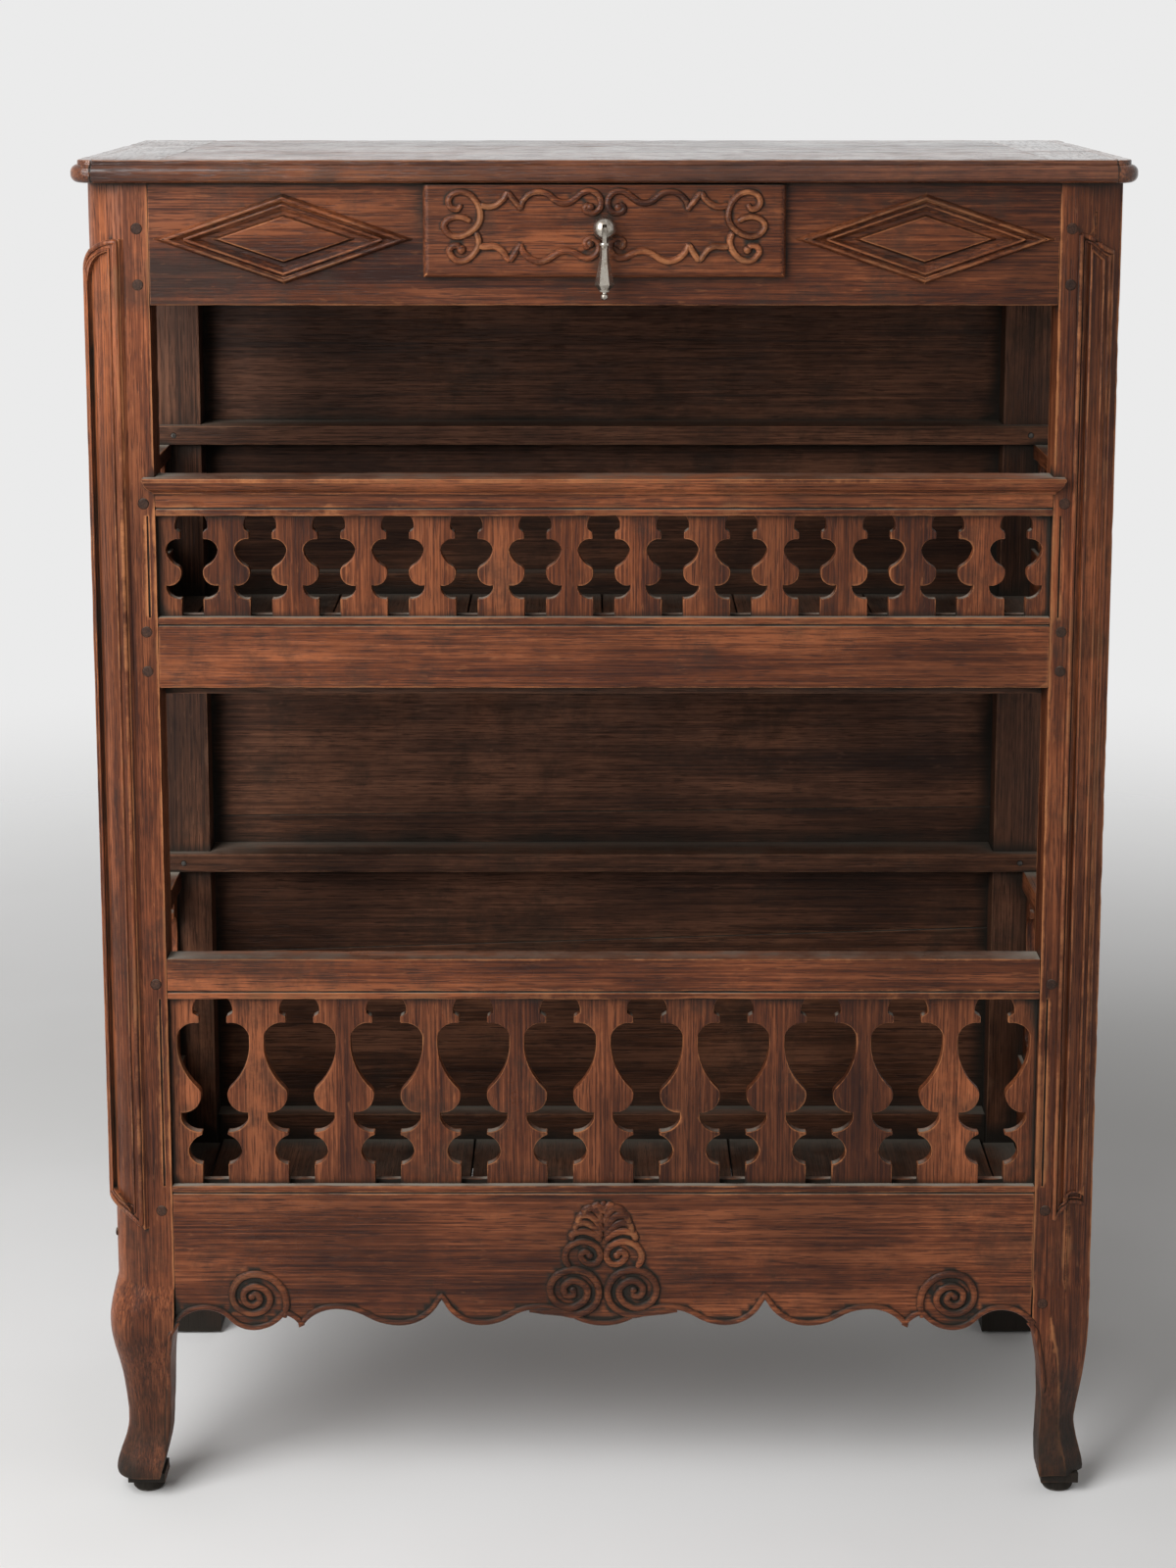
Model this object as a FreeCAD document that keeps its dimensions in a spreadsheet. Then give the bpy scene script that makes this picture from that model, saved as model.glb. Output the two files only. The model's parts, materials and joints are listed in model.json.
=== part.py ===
import FreeCAD, Part
import math
import os
import re

import Sketcher
from FreeCAD import Placement, Rotation, Vector

# An open kitchen dresser: moulded top, one drawer, two shelves behind baluster galleries,
# scalloped apron and cabriole front legs. Millimetres, Z up, the front faces -Y.
# Depths named d count backwards from the front face of the posts and rails.

SIZES = {
    # Top
    "top_half": 465, "top_over": 15, "top_back": 410, "top_under": 1230, "top_plate": 16, "top_cap": 4,
    "top_step": 6, "top_round": 7, "top_corner": 22, "moulding_wide": 18, "moulding_turn": 20,
    "end_board": 60, "field_joint_front": 138, "field_joint_rear": 272, "board_gap": 0.6,
    "board_tongue": 12, "board_tongue_thick": 6,
    # Posts
    "post_out": 455, "post_in": 398, "post_deep": 40, "leg_top": 212, "corner_round": 37,
    "cant_wide": 42, "cant_deep": 21, "rear_in": 402, "rear_front": 350, "rear_back": 400,
    "rebate_wide": 13, "rebate_deep": 15,
    # Raised frames on the front posts
    "frame_proud": 4, "frame_root": 3, "frame_wide": 10.6, "frame_inner": 35, "frame_high": 1181, "frame_high_dip": 23,
    "frame_low": 268, "frame_low_dip": 27, "panel_start": 1.5, "panel_wide": 38, "panel_rim": 7,
    "panel_high": 1187, "panel_fall": 16, "panel_low": 270, "panel_rise": 11, "panel_arch": 9,
    # Feet
    "sole_level": 20, "foot_level": 11, "foot_half": 17.5, "foot_x": 430, "foot_d": 25,
    "pad_round": 15, "spigot_round": 7, "spigot_long": 10, "glide_round": 13, "glide_thick": 2,
    # Front rails
    "rail_thick": 25, "top_rail_low": 1123, "cap_high": 971, "upper_fret_high": 936,
    "upper_fret_low": 844, "upper_rail_low": 780, "lower_rail_high": 527, "lower_fret_high": 489,
    "lower_fret_low": 309, "tenon_long": 33, "tenon_front": 8, "tenon_thick": 9, "tenon_shoulder": 6,
    "peg_round": 4.8, "peg_x": 408, "peg_deep": 30, "peg_proud": 0.6, "quirk": 1.6, "bead_wide": 6,
    "notch_half": 150, "notch_low": 1156,
    # Raised diamonds
    "diamond_x": 280, "diamond_z": 1181, "diamond_wide": 114, "diamond_tall": 39.5, "diamond_proud": 5,
    "diamond_sink": 6,
    # Ledge moulding
    "ledge_half": 408, "ledge_low": 956, "ledge_proud": 12, "ledge_lip": 4, "ledge_foot": 4,
    # Side rails
    "side_out": 452, "side_thick": 20, "side_tenon_front": 20, "side_tenon_rear": 30,
    "side_tenon_thick": 8, "side_upper_high": 951, "side_lower_high": 509, "side_apron_low": 196,
    "side_apron_rise": 32, "side_peg_front": 30, "side_peg_rear": 364, "side_peg_long": 26,
    # Balusters
    "slat_front": 8, "slat_thick": 10, "slat_tongue": 6, "upper_slat_half": 21.2,
    "lower_slat_half": 28, "upper_count": 13, "lower_count": 10, "upper_side_count": 5,
    "lower_side_count": 4,
    # Back
    "rear_rail_front": 360, "rear_rail_thick": 25, "back_thick": 10, "rear_top_low": 1140,
    "rear_floor_low": 780, "rear_floor_high": 816, "rear_bottom_low": 186, "rear_bottom_high": 240,
    "ledge_front": 338, "ledge_thick": 19, "back_low": 192, "nail_round": 2.4, "nail_long": 22,
    "nail_head": 0.8, "nail_x": 428,
    # Floors
    "upper_floor": 795, "lower_floor": 213, "floor_thick": 14, "floor_half": 431, "floor_gap": 1.5,
    "cleat_deep": 18, "cleat_tall": 12, "floor_count": 6,
    # Drawer
    "drawer_half": 158, "drawer_low": 1148, "drawer_high": 1229, "drawer_proud": 10, "lip_round": 6,
    "lip_gap": 0.5, "box_half": 149, "box_low": 1157, "side_high": 1222, "box_thick": 10,
    "plug_deep": 16, "box_back": 295, "drawer_back_low": 1166, "drawer_back_high": 1214,
    "bottom_low": 1160, "bottom_thick": 6, "bottom_groove": 4, "runner_gap": 0.4, "runner_tall": 20,
    "runner_in": 118, "runner_tenon": 8, "guide_gap": 1, "guide_wide": 12, "guide_high": 1196,
    # Pull
    "knob_out": 36, "knob_z": 1192, "ball_round": 10, "neck_round": 4, "rose_round": 9, "rose_thick": 2,
    "stem_round": 2.5, "stem_end": 22, "nut_thick": 4, "nut_round": 5.5, "slot_half": 2, "slot_back": 4,
    "pin_round": 1, "pin_half": 9.2, "eye_round": 1.08, "tab_half": 1.7, "tab_round": 3,
    "drop_top": 1179.5, "drop_low": 1130, "drop_wide": 8.6, "collar_round": 4.6,
}

# Stations of the cabriole legs, evenly spaced from the hip down to the sole: swell of the outer
# curve, inset of the inner curve, width and depth of the rounded or canted corner.
STATIONS = ("thigh", "knee", "calf", "shin", "taper", "ankle", "instep", "sole")
LEGS = {
    "left": ((5.5, 0.4, 34, 34), (6.5, 2, 30, 30), (2, 5, 26, 26), (-3, 6, 23, 23),
             (-6.3, 6.8, 20, 20), (-7.6, 8, 18, 18), (-2, 11.5, 20, 20), (3.5, 17.5, 23, 23)),
    "right": ((0.5, 0.7, 40, 20.5), (0, 3, 36, 20), (-1.5, 8, 30, 18.5), (-4, 11, 25, 17),
              (-7.5, 12.5, 20, 16), (-10, 12, 17, 15), (-6.5, 11, 17, 15), (-2.5, 12, 18, 16)),
}
CURVE = ("swell", "inset", "corner_wide", "corner_deep")
for hand, stations in LEGS.items():
    for station, numbers in zip(STATIONS, stations):
        for what, number in zip(CURVE, numbers):
            SIZES[f"{hand}_{station}_{what}"] = number

# Half outlines of the sawn balusters as shares of half width and fret height, from the foot up.
# A third and fourth entry give an arc: its radius as a share of the height, and its turn.
UPPER_SLAT = (
    (1.0, 0.174), (0.34, 0.277, 0.125, -1), (0.34, 0.30), (0.99, 0.43, 0.125, 1), (0.87, 0.49, 0.06, 1),
    (0.35, 0.652, 0.22, -1), (0.97, 0.755, 0.12, -1), (0.97, 0.826), (0.78, 0.859), (0.97, 1.0, 0.15, -1),
)
LOWER_SLAT = (
    (1.0, 0.10), (0.55, 0.172, 0.075, -1), (1.0, 0.258, 0.10, -1), (1.0, 0.275), (0.32, 0.345, 0.10, -1),
    (0.32, 0.378), (0.99, 0.472, 0.095, 1), (0.90, 0.51, 0.05, 1), (0.247, 0.728, 0.34, -1),
    (0.247, 0.789), (0.97, 0.856, 0.095, -1), (0.97, 0.892), (0.775, 0.911), (1.0, 1.0, 0.10, -1),
)

doc = FreeCAD.newDocument("Dresser")
sheet = doc.addObject("Spreadsheet::Sheet", "Sizes")
for row, (alias, number) in enumerate(SIZES.items(), start=1):
    sheet.set(f"A{row}", alias)
    sheet.set(f"B{row}", str(number))
    sheet.setAlias(f"B{row}", alias)
doc.recompute()

WORD = re.compile(r"[a-z][a-z0-9_]*")
FRONT = "(knob_out - top_back)/2"
SIDES = {"left": -1, "right": 1}
AXES = {"x": Vector(1, 0, 0), "y": Vector(0, 1, 0), "z": Vector(0, 0, 1)}
nodes = {}


def bound(text):
    """Point a formula in plain size names at the sheet."""
    def pointed(match):
        word = match.group(0)
        return f"Sizes.{word}" if word in SIZES else word
    return WORD.sub(pointed, str(text))


def value(text):
    """Number that a formula has now."""
    return float(sheet.evalExpression(bound(text)))


def bind(item, prop, text):
    item.setExpression(prop, bound(text))


def deep(d):
    """Y of a depth counted from the front face."""
    return f"{FRONT} + ({d})"


def span(sign, near, far):
    """Two X levels of a piece on the right, or mirrored on the left."""
    return (near, far) if sign > 0 else (f"-({far})", f"-({near})")


def keep(node, item):
    item.Label = node
    nodes[node] = item
    return item


def block(name, x, d, z):
    """Rectangular timber between two levels on each axis."""
    item = doc.addObject("Part::Box", name)
    for prop, (low, high) in zip(("Length", "Width", "Height"), (x, d, z)):
        bind(item, prop, f"({high}) - ({low})")
    bind(item, "Placement.Base.x", x[0])
    bind(item, "Placement.Base.y", deep(d[0]))
    bind(item, "Placement.Base.z", z[0])
    return item


def rod(name, radius, length, x, d, z, axis):
    """Round rod that starts at a point and runs along one axis."""
    item = doc.addObject("Part::Cylinder", name)
    item.Placement = Placement(Vector(), Rotation(AXES["z"], AXES[axis]))
    bind(item, "Radius", radius)
    bind(item, "Height", length)
    bind(item, "Placement.Base.x", x)
    bind(item, "Placement.Base.y", deep(d))
    bind(item, "Placement.Base.z", z)
    return item


def group(name, items):
    """Separate solids kept together."""
    item = doc.addObject("Part::Compound", name)
    item.Links = items
    return item


def fuse(name, items):
    item = doc.addObject("Part::MultiFuse", name)
    item.Shapes = items
    item.Refine = True
    return item


def cut(name, base, tools):
    """Take a set of tools, which don't cross each other, out of a piece."""
    item = doc.addObject("Part::Cut", name)
    item.Base = base
    item.Tool = tools[0] if len(tools) == 1 else group(f"{name}_tools", tools)
    return item


def common(name, base, tool):
    item = doc.addObject("Part::Common", name)
    item.Base = base
    item.Tool = tool
    return item


def body(name):
    return doc.addObject("PartDesign::Body", name)


def origin_item(owner, role):
    return next(item for item in owner.Origin.OriginFeatures if item.Role == role)


def arc_between(start, end, radius, turn):
    """Arc of less than half a circle between two points, turning left for 1 and right for -1."""
    chord = end - start
    half = chord.Length / 2
    rise = max(radius * radius - half * half, 0) ** 0.5
    left = Vector(-chord.y, chord.x, 0).normalize()
    centre = start + chord * 0.5 + left * (rise * turn)
    middle = centre - left * (radius * turn)
    return Part.Arc(start, middle, end)


def add_loop(sketch, points):
    """Closed outline through points; each coordinate and radius stays bound to the sheet."""
    spots = [Vector(value(p[0]), value(p[1]), 0) for p in points]
    ends = []
    for index, point in enumerate(points):
        start, end = spots[index - 1], spots[index]
        if len(point) == 2:
            edge = sketch.addGeometry(Part.LineSegment(start, end), False)
            ends.append((edge, 1, 2))
            continue
        edge = sketch.addGeometry(arc_between(start, end, value(point[2]), point[3]), False)
        ends.append((edge, 1, 2) if point[3] > 0 else (edge, 2, 1))
    for index, point in enumerate(points):
        edge, first, last = ends[index]
        following, start, _ = ends[(index + 1) % len(points)]
        sketch.addConstraint(Sketcher.Constraint("Coincident", edge, last, following, start))
        for kind, text, number in (("DistanceX", point[0], spots[index].x), ("DistanceY", point[1], spots[index].y)):
            spot = sketch.addConstraint(Sketcher.Constraint(kind, -1, 1, edge, last, number))
            sketch.setExpression(f"Constraints[{spot}]", bound(text))
        if len(point) == 4:
            spot = sketch.addConstraint(Sketcher.Constraint("Radius", edge, value(point[2])))
            sketch.setExpression(f"Constraints[{spot}]", bound(point[2]))


def sketch_on(owner, name, plane, loops, lift="0", at=("0", "0"), turn=None):
    """Sketch on an origin plane of its body, lifted along the normal and turned where needed."""
    sketch = owner.newObject("Sketcher::SketchObject", name)
    sketch.AttachmentSupport = (origin_item(owner, plane), [""])
    sketch.MapMode = "FlatFace"
    if turn is not None:
        sketch.AttachmentOffset = Placement(Vector(), Rotation(Vector(0, 1, 0), turn))
    bind(sketch, "AttachmentOffset.Base.x", at[0])
    bind(sketch, "AttachmentOffset.Base.y", at[1])
    bind(sketch, "AttachmentOffset.Base.z", lift)
    for loop in loops:
        add_loop(sketch, loop)
    return sketch


def pad(owner, name, sketch, length, taper=None):
    item = owner.newObject("PartDesign::Pad", name)
    item.Profile = sketch
    bind(item, "Length", length)
    if taper is not None:
        item.TaperAngle = taper
    return item


def pocket(owner, name, sketch, length, taper=None):
    item = owner.newObject("PartDesign::Pocket", name)
    item.Profile = sketch
    bind(item, "Length", length)
    if taper is not None:
        item.TaperAngle = taper
    return item


def rectangle(x, y):
    return [(x[0], y[0]), (x[1], y[0]), (x[1], y[1]), (x[0], y[1])]


def s_curve(start, end, turn):
    """Two equal arcs that leave one level point and arrive level at the next."""
    (x0, z0), (x1, z1) = start, end
    radius = f"((({x1})-({x0}))^2 + (({z1})-({z0}))^2)/(4*abs(({z1})-({z0})))"
    middle = (f"(({x0})+({x1}))/2", f"(({z0})+({z1}))/2")
    return [(*middle, radius, turn), (x1, z1, radius, -turn)]


def quarter(level, other, end, turn):
    """Arc that is level at one of its two points."""
    (x0, z0), (x1, z1) = level, other
    radius = f"((({x1})-({x0}))^2 + (({z1})-({z0}))^2)/(2*abs(({z1})-({z0})))"
    return [(*end, radius, turn)]


# Tenons and pegs, shared by the rails that carry them and the posts that take them
tenons = {(row, sign): [] for row in ("front", "rear") for sign in SIDES.values()}
holes = {(row, sign): [] for row in ("front", "rear") for sign in SIDES.values()}
front_pegs = []
side_pegs = []
rear_pegs = []


def front_joint(node, low, high, peg_levels):
    """Tenons and pegs at both ends of a front rail."""
    tails, pins = [], []
    for hand, sign in SIDES.items():
        tail = block(f"{node}_tenon_{hand}", span(sign, "post_in", "post_in + tenon_long"),
                     ("tenon_front", "tenon_front + tenon_thick"),
                     (f"{low} + tenon_shoulder", f"{high} - tenon_shoulder"))
        tails.append(tail)
        tenons["front", sign].append(tail)
        for level in peg_levels:
            pin = rod(f"{node}_peg_{hand}", "peg_round", "peg_deep + peg_proud", f"{sign}*peg_x",
                      "-peg_proud", level, "y")
            pins.append(pin)
            holes["front", sign].append(pin)
    front_pegs.extend(pins)
    return tails, pins


def rear_joint(node, low, high):
    """Tenons and pegs at both ends of a rear rail."""
    tails, pins = [], []
    for hand, sign in SIDES.items():
        tail = block(f"{node}_tenon_{hand}", span(sign, "rear_in", "rear_in + tenon_long - 5"),
                     ("rear_rail_front + tenon_front", "rear_rail_front + tenon_front + tenon_thick"),
                     (f"{low} + tenon_shoulder", f"{high} - tenon_shoulder"))
        pin = rod(f"{node}_peg_{hand}", "peg_round", "peg_deep + 5 + peg_proud", f"{sign}*(rear_in + 19)",
                  "rear_back + peg_proud - (peg_deep + 5 + peg_proud)", f"({low} + {high})/2", "y")
        tails.append(tail)
        pins.append(pin)
        tenons["rear", sign].append(tail)
        holes["rear", sign].append(pin)
    rear_pegs.extend(pins)
    return tails, pins


def side_joint(node, sign, low, high, pegged):
    """Tenons at both ends of a side rail, with pegs where the rail is tall enough."""
    x = span(sign, "side_out - 14", "side_out - 14 + side_tenon_thick")
    level = f"({low} + {high})/2"
    ends = {
        "front": (("post_deep - side_tenon_front", "post_deep"), "side_peg_front"),
        "rear": (("rear_front", "rear_front + side_tenon_rear"), "side_peg_rear"),
    }
    start = "post_out + peg_proud - side_peg_long" if sign > 0 else "-(post_out + peg_proud)"
    tails, pins = [], []
    for row, (depth, peg_d) in ends.items():
        tail = block(f"{node}_tenon_{row}", x, depth, (f"{low} + 4", f"{high} - 4"))
        tails.append(tail)
        tenons[row, sign].append(tail)
        if pegged:
            pin = rod(f"{node}_peg_{row}", "peg_round*0.8", "side_peg_long", start, peg_d, level, "x")
            pins.append(pin)
            holes[row, sign].append(pin)
    side_pegs.extend(pins)
    return tails, pins


def joined(node, blank, tails, pins, trims=()):
    """Rail with its tenons, its grooves and the peg holes through the tenons."""
    wood = fuse(f"{node}_tenoned", [blank] + tails)
    if trims:
        wood = cut(f"{node}_grooved", wood, list(trims))
    if pins:
        wood = cut(f"{node}_drilled", wood, pins)
    return keep(node, wood)


def fret_trims(node, fret, above):
    """Groove that takes the slats and the quirk of the bead, above or below a fret opening."""
    low, high = f"{fret}_fret_low", f"{fret}_fret_high"
    groove = (high, f"{high} + slat_tongue") if above else (f"{low} - slat_tongue", low)
    quirk = (f"{high} + bead_wide", f"{high} + bead_wide + quirk")
    if not above:
        quirk = (f"{low} - bead_wide - quirk", f"{low} - bead_wide")
    x = ("-post_in", "post_in")
    return [block(f"{node}_groove", x, ("slat_front", "slat_front + slat_thick"), groove),
            block(f"{node}_quirk", x, ("0", "quirk"), quirk)]


# Front top rail with the drawer notch and two raised diamonds
def diamond(sign, share_wide, share_tall):
    x, z = f"{sign}*diamond_x", "diamond_z"
    wide, tall = f"diamond_wide*{share_wide}", f"diamond_tall*{share_tall}"
    return [(f"{x} - {wide}", z), (x, f"{z} - {tall}"), (f"{x} + {wide}", z), (x, f"{z} + {tall}")]


face = f"-({FRONT})"
rail_body = body("top_rail_blank")
rail_outline = [
    ("-post_in", "top_rail_low"), ("post_in", "top_rail_low"), ("post_in", "top_under"),
    ("notch_half", "top_under"), ("notch_half", "notch_low"), ("-notch_half", "notch_low"),
    ("-notch_half", "top_under"), ("-post_in", "top_under"),
]
rail_sketch = sketch_on(rail_body, "rail_outline", "XZ_Plane", [rail_outline], f"{face} - rail_thick")
pad(rail_body, "rail_board", rail_sketch, "rail_thick")
ridge = sketch_on(rail_body, "diamond_ridges", "XZ_Plane", [diamond(s, 1, 1) for s in (-1, 1)], face)
pad(rail_body, "diamond_raise", ridge, "diamond_proud", -22)
valley = sketch_on(rail_body, "diamond_valleys", "XZ_Plane", [diamond(s, 0.9, 0.86) for s in (-1, 1)],
                   f"{face} + diamond_proud")
pocket(rail_body, "diamond_sinking", valley, "diamond_sink + 1.2", -52)
field = sketch_on(rail_body, "diamond_fields", "XZ_Plane", [diamond(s, 0.57, 0.557) for s in (-1, 1)],
                  f"{face} - 3")
pad(rail_body, "diamond_table", field, "4", -30)
tails, pins = front_joint("top_rail_front", "top_rail_low", "top_under - 20", ("1190", "1141"))
sockets = [block(f"runner_socket_{hand}", span(sign, "runner_in + 4", "runner_in + 28"),
                 ("rail_thick - runner_tenon", "rail_thick"),
                 ("box_low - runner_gap - runner_tall + 4", "box_low - runner_gap - 4"))
           for hand, sign in SIDES.items()]
joined("top_rail_front", rail_body, tails, pins, sockets)

# Plain front rails round the two fret openings
PLAIN_RAILS = (
    ("gallery_rail_upper_front", "upper_fret_high", "cap_high", ("947",), "upper", True),
    ("bottom_rail_upper_front", "upper_rail_low", "upper_fret_low", ("831", "795"), "upper", False),
    ("gallery_rail_lower_front", "lower_fret_high", "lower_rail_high", ("503",), "lower", True),
)
for node, low, high, peg_levels, fret, above in PLAIN_RAILS:
    board = block(f"{node}_board", ("-post_in", "post_in"), ("0", "rail_thick"), (low, high))
    tails, pins = front_joint(node, low, high, peg_levels)
    joined(node, board, tails, pins, fret_trims(node, fret, above))

# Scalloped apron: level points of the wave, given as width share of the half span and level
WAVE = [("0", "172.6"), ("0.148*post_in", "189"), ("0.285*post_in", "173")]
CUSP = ("0.377*post_in", "200")
LOBE = ("0.477*post_in", "172.6")
CREST = ("0.623*post_in", "189")
TIP = ("0.706*post_in", "170")
NICK = ("0.744*post_in", "183")
SCROLL = ("0.817*post_in", "168")
ARCH = ("0.930*post_in", "188")
HIP = ("post_in", "172.6")
right_edge = s_curve(WAVE[0], WAVE[1], 1) + s_curve(WAVE[1], WAVE[2], -1)
right_edge += quarter(WAVE[2], CUSP, CUSP, 1) + quarter(LOBE, CUSP, LOBE, 1)
right_edge += s_curve(LOBE, CREST, 1) + quarter(CREST, TIP, TIP, -1) + [(*NICK, "22", -1)]
right_edge += quarter(SCROLL, NICK, SCROLL, 1) + s_curve(SCROLL, ARCH, 1) + quarter(ARCH, HIP, HIP, -1)


def mirrored(start, edge):
    """The same edge on the left, walked back to its start."""
    points = [start] + edge
    back = []
    for index in range(len(points) - 1, 0, -1):
        x, z = points[index - 1][:2]
        back.append((f"-({x})", z) + tuple(points[index][2:]))
    return back


apron_loop = right_edge + [("post_in", "lower_fret_low"), ("-post_in", "lower_fret_low"), (f"-({HIP[0]})", HIP[1])]
apron_loop += mirrored(WAVE[0], right_edge)
apron_body = body("apron_blank")
apron_sketch = sketch_on(apron_body, "apron_outline", "XZ_Plane", [apron_loop], f"{face} - rail_thick")
pad(apron_body, "apron_board", apron_sketch, "rail_thick")
tails, pins = front_joint("apron_front", "184", "lower_fret_low", ("285", "194"))
joined("apron_front", apron_body, tails, pins, fret_trims("apron_front", "lower", False))

# Side rails and side aprons
for hand, sign in SIDES.items():
    x = span(sign, "side_out - side_thick", "side_out")
    slat_x = span(sign, "side_out - 15", "side_out - 15 + slat_thick")
    depth = ("post_deep", "rear_front")
    side_rails = (
        ("side_top_rail", "top_rail_low", "top_under", None, True),
        ("side_gallery_rail_upper", "upper_fret_high", "side_upper_high", "upper_fret_high", False),
        ("side_bottom_rail_upper", "upper_rail_low", "upper_fret_low", "upper_fret_low - slat_tongue", True),
        ("side_gallery_rail_lower", "lower_fret_high", "side_lower_high", "lower_fret_high", False),
    )
    for kind, low, high, groove, pegged in side_rails:
        node = f"{kind}_{hand}"
        board = block(f"{node}_board", x, depth, (low, high))
        tails, pins = side_joint(node, sign, low, f"{high} - 20" if groove is None else high, pegged)
        trims = []
        if groove is not None:
            trims.append(block(f"{node}_groove", slat_x, depth, (groove, f"{groove} + slat_tongue")))
        joined(node, board, tails, pins, trims)
    node = f"side_apron_{hand}"
    owner = body(f"{node}_blank")
    front_y, rear_y, mid_y = deep("post_deep"), deep("rear_front"), deep("(post_deep + rear_front)/2")
    low, rise = "side_apron_low", "side_apron_low + side_apron_rise"
    loop = s_curve((front_y, low), (mid_y, rise), 1) + s_curve((mid_y, rise), (rear_y, low), -1)
    loop += [(rear_y, "lower_fret_low"), (front_y, "lower_fret_low"), (front_y, low)]
    sketch = sketch_on(owner, f"{node}_outline", "YZ_Plane", [loop], x[0])
    pad(owner, f"{node}_board", sketch, "side_thick")
    tails, pins = side_joint(node, sign, low, "lower_fret_low", True)
    groove = block(f"{node}_groove", slat_x, depth, ("lower_fret_low - slat_tongue", "lower_fret_low"))
    joined(node, owner, tails, pins, [groove])

# Rear rails
REAR_RAILS = (
    ("rear_top_rail", "rear_top_low", "top_under"),
    ("rear_floor_rail_upper", "rear_floor_low", "rear_floor_high"),
    ("rear_bottom_rail", "rear_bottom_low", "rear_bottom_high"),
)
for node, low, high in REAR_RAILS:
    board = block(f"{node}_board", ("-rear_in", "rear_in"),
                  ("rear_rail_front", "rear_rail_front + rear_rail_thick"), (low, high))
    tails, pins = rear_joint(node, low, high)
    trims = []
    if node == "rear_top_rail":
        trims = [block(f"rear_socket_{hand}", span(sign, "runner_in + 4", "runner_in + 28"),
                       ("rear_rail_front", "rear_rail_front + runner_tenon"),
                       ("box_low - runner_gap - runner_tall + 4", "box_low - runner_gap - 4"))
                 for hand, sign in SIDES.items()]
    joined(node, board, tails, pins, trims)

# Rear ledges, notched round the rear posts and nailed to them
ledge_nails = []
for level, top in (("upper", "side_upper_high"), ("lower", "side_lower_high")):
    node = f"rear_ledge_{level}"
    z = (top, f"{top} + ledge_thick")
    strip = block(f"{node}_strip", ("-post_out", "post_out"), ("ledge_front", "rear_front"), z)
    middle = block(f"{node}_middle", ("-rear_in", "rear_in"), ("rear_front", "rear_back - rebate_deep"), z)
    nails = []
    for hand, sign in SIDES.items():
        nail = rod(f"{node}_nail_{hand}", "nail_round", "nail_long + nail_head", f"{sign}*nail_x",
                   "ledge_front - nail_head", f"{top} + ledge_thick/2", "y")
        nails.append(nail)
        holes["rear", sign].append(nail)
    ledge_nails.extend(nails)
    keep(node, cut(f"{node}_drilled", fuse(f"{node}_wood", [strip, middle]), nails))

# Back boards with their uneven joints, laid in the rebates of the rear posts
BACK_JOINTS = (("back_low", "back_low"), ("409", "436"), ("556", "566"), ("790", "790"), ("966", "966"),
               ("top_under", "top_under"))
for index in range(len(BACK_JOINTS) - 1):
    node = f"back_board_{index + 1}"
    (low_left, low_right), (high_left, high_right) = BACK_JOINTS[index:index + 2]
    edge = "rear_in + rebate_wide - 1"
    loop = [(f"-({edge})", low_left), (edge, low_right), (edge, f"{high_right} - board_gap"),
            (f"-({edge})", f"{high_left} - board_gap")]
    owner = body(node)
    sketch = sketch_on(owner, f"{node}_outline", "XZ_Plane", [loop],
                       f"{face} - (rear_back - rebate_deep + back_thick)")
    pad(owner, f"{node}_panel", sketch, "back_thick")
    keep(node, owner)

# Sawn balusters: one slat, repeated along the fret and sawn through at both ends
def slat_loop(centre, shares, half, low, tall):
    def spot(w, h):
        return (f"{centre} + ({w})*{half}", f"{low} + ({h})*{tall}")
    right = [(f"{centre} + {half}", f"{low} - slat_tongue")]
    right += [spot(p[0], p[1]) + ((f"{p[2]}*{tall}", p[3]) if len(p) > 2 else ()) for p in shares]
    crown = shares[-1][0]
    right += [(f"{centre} + {crown}*{half}", f"{low} + {tall} + slat_tongue")]
    left = [(f"{centre} - {crown}*{half}", f"{low} + {tall} + slat_tongue")]
    left += [(f"{centre} - {crown}*{half}", f"{low} + {tall}")]
    for index in range(len(shares) - 1, 0, -1):
        w, h = shares[index - 1][:2]
        bow = shares[index][2:]
        left.append(spot(f"-{w}", h) + ((f"{bow[0]}*{tall}", bow[1]) if bow else ()))
    left.append((f"{centre} - {half}", f"{low} - slat_tongue"))
    return right + left


def slat_row(node, plane, lift, first, last, fret, count):
    """Row of slats between two end points of a fret opening."""
    shares = UPPER_SLAT if fret == "upper" else LOWER_SLAT
    half, low, high = f"{fret}_slat_half", f"{fret}_fret_low", f"{fret}_fret_high"
    owner = body(node)
    sketch = sketch_on(owner, f"{node}_outline", plane, [slat_loop(first, shares, half, low, f"({high} - {low})")],
                       lift)
    slat = pad(owner, f"{node}_slat", sketch, "slat_thick")
    row = owner.newObject("PartDesign::LinearPattern", f"{node}_pattern")
    row.Originals = [slat]
    row.Direction = (origin_item(owner, "X_Axis" if plane == "XZ_Plane" else "Y_Axis"), [""])
    bind(row, "Length", f"({last}) - ({first})")
    bind(row, "Occurrences", f"{count} + 1")
    owner.Tip = row
    ends = [rectangle((f"{first} - 2*{half}", first), (f"{low} - 20", f"{high} + 20")),
            rectangle((last, f"{last} + 2*{half}"), (f"{low} - 20", f"{high} + 20"))]
    saw = sketch_on(owner, f"{node}_saw", plane, ends, f"{lift} + slat_thick + 1")
    pocket(owner, f"{node}_sawn", saw, "slat_thick + 2")
    return owner


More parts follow.
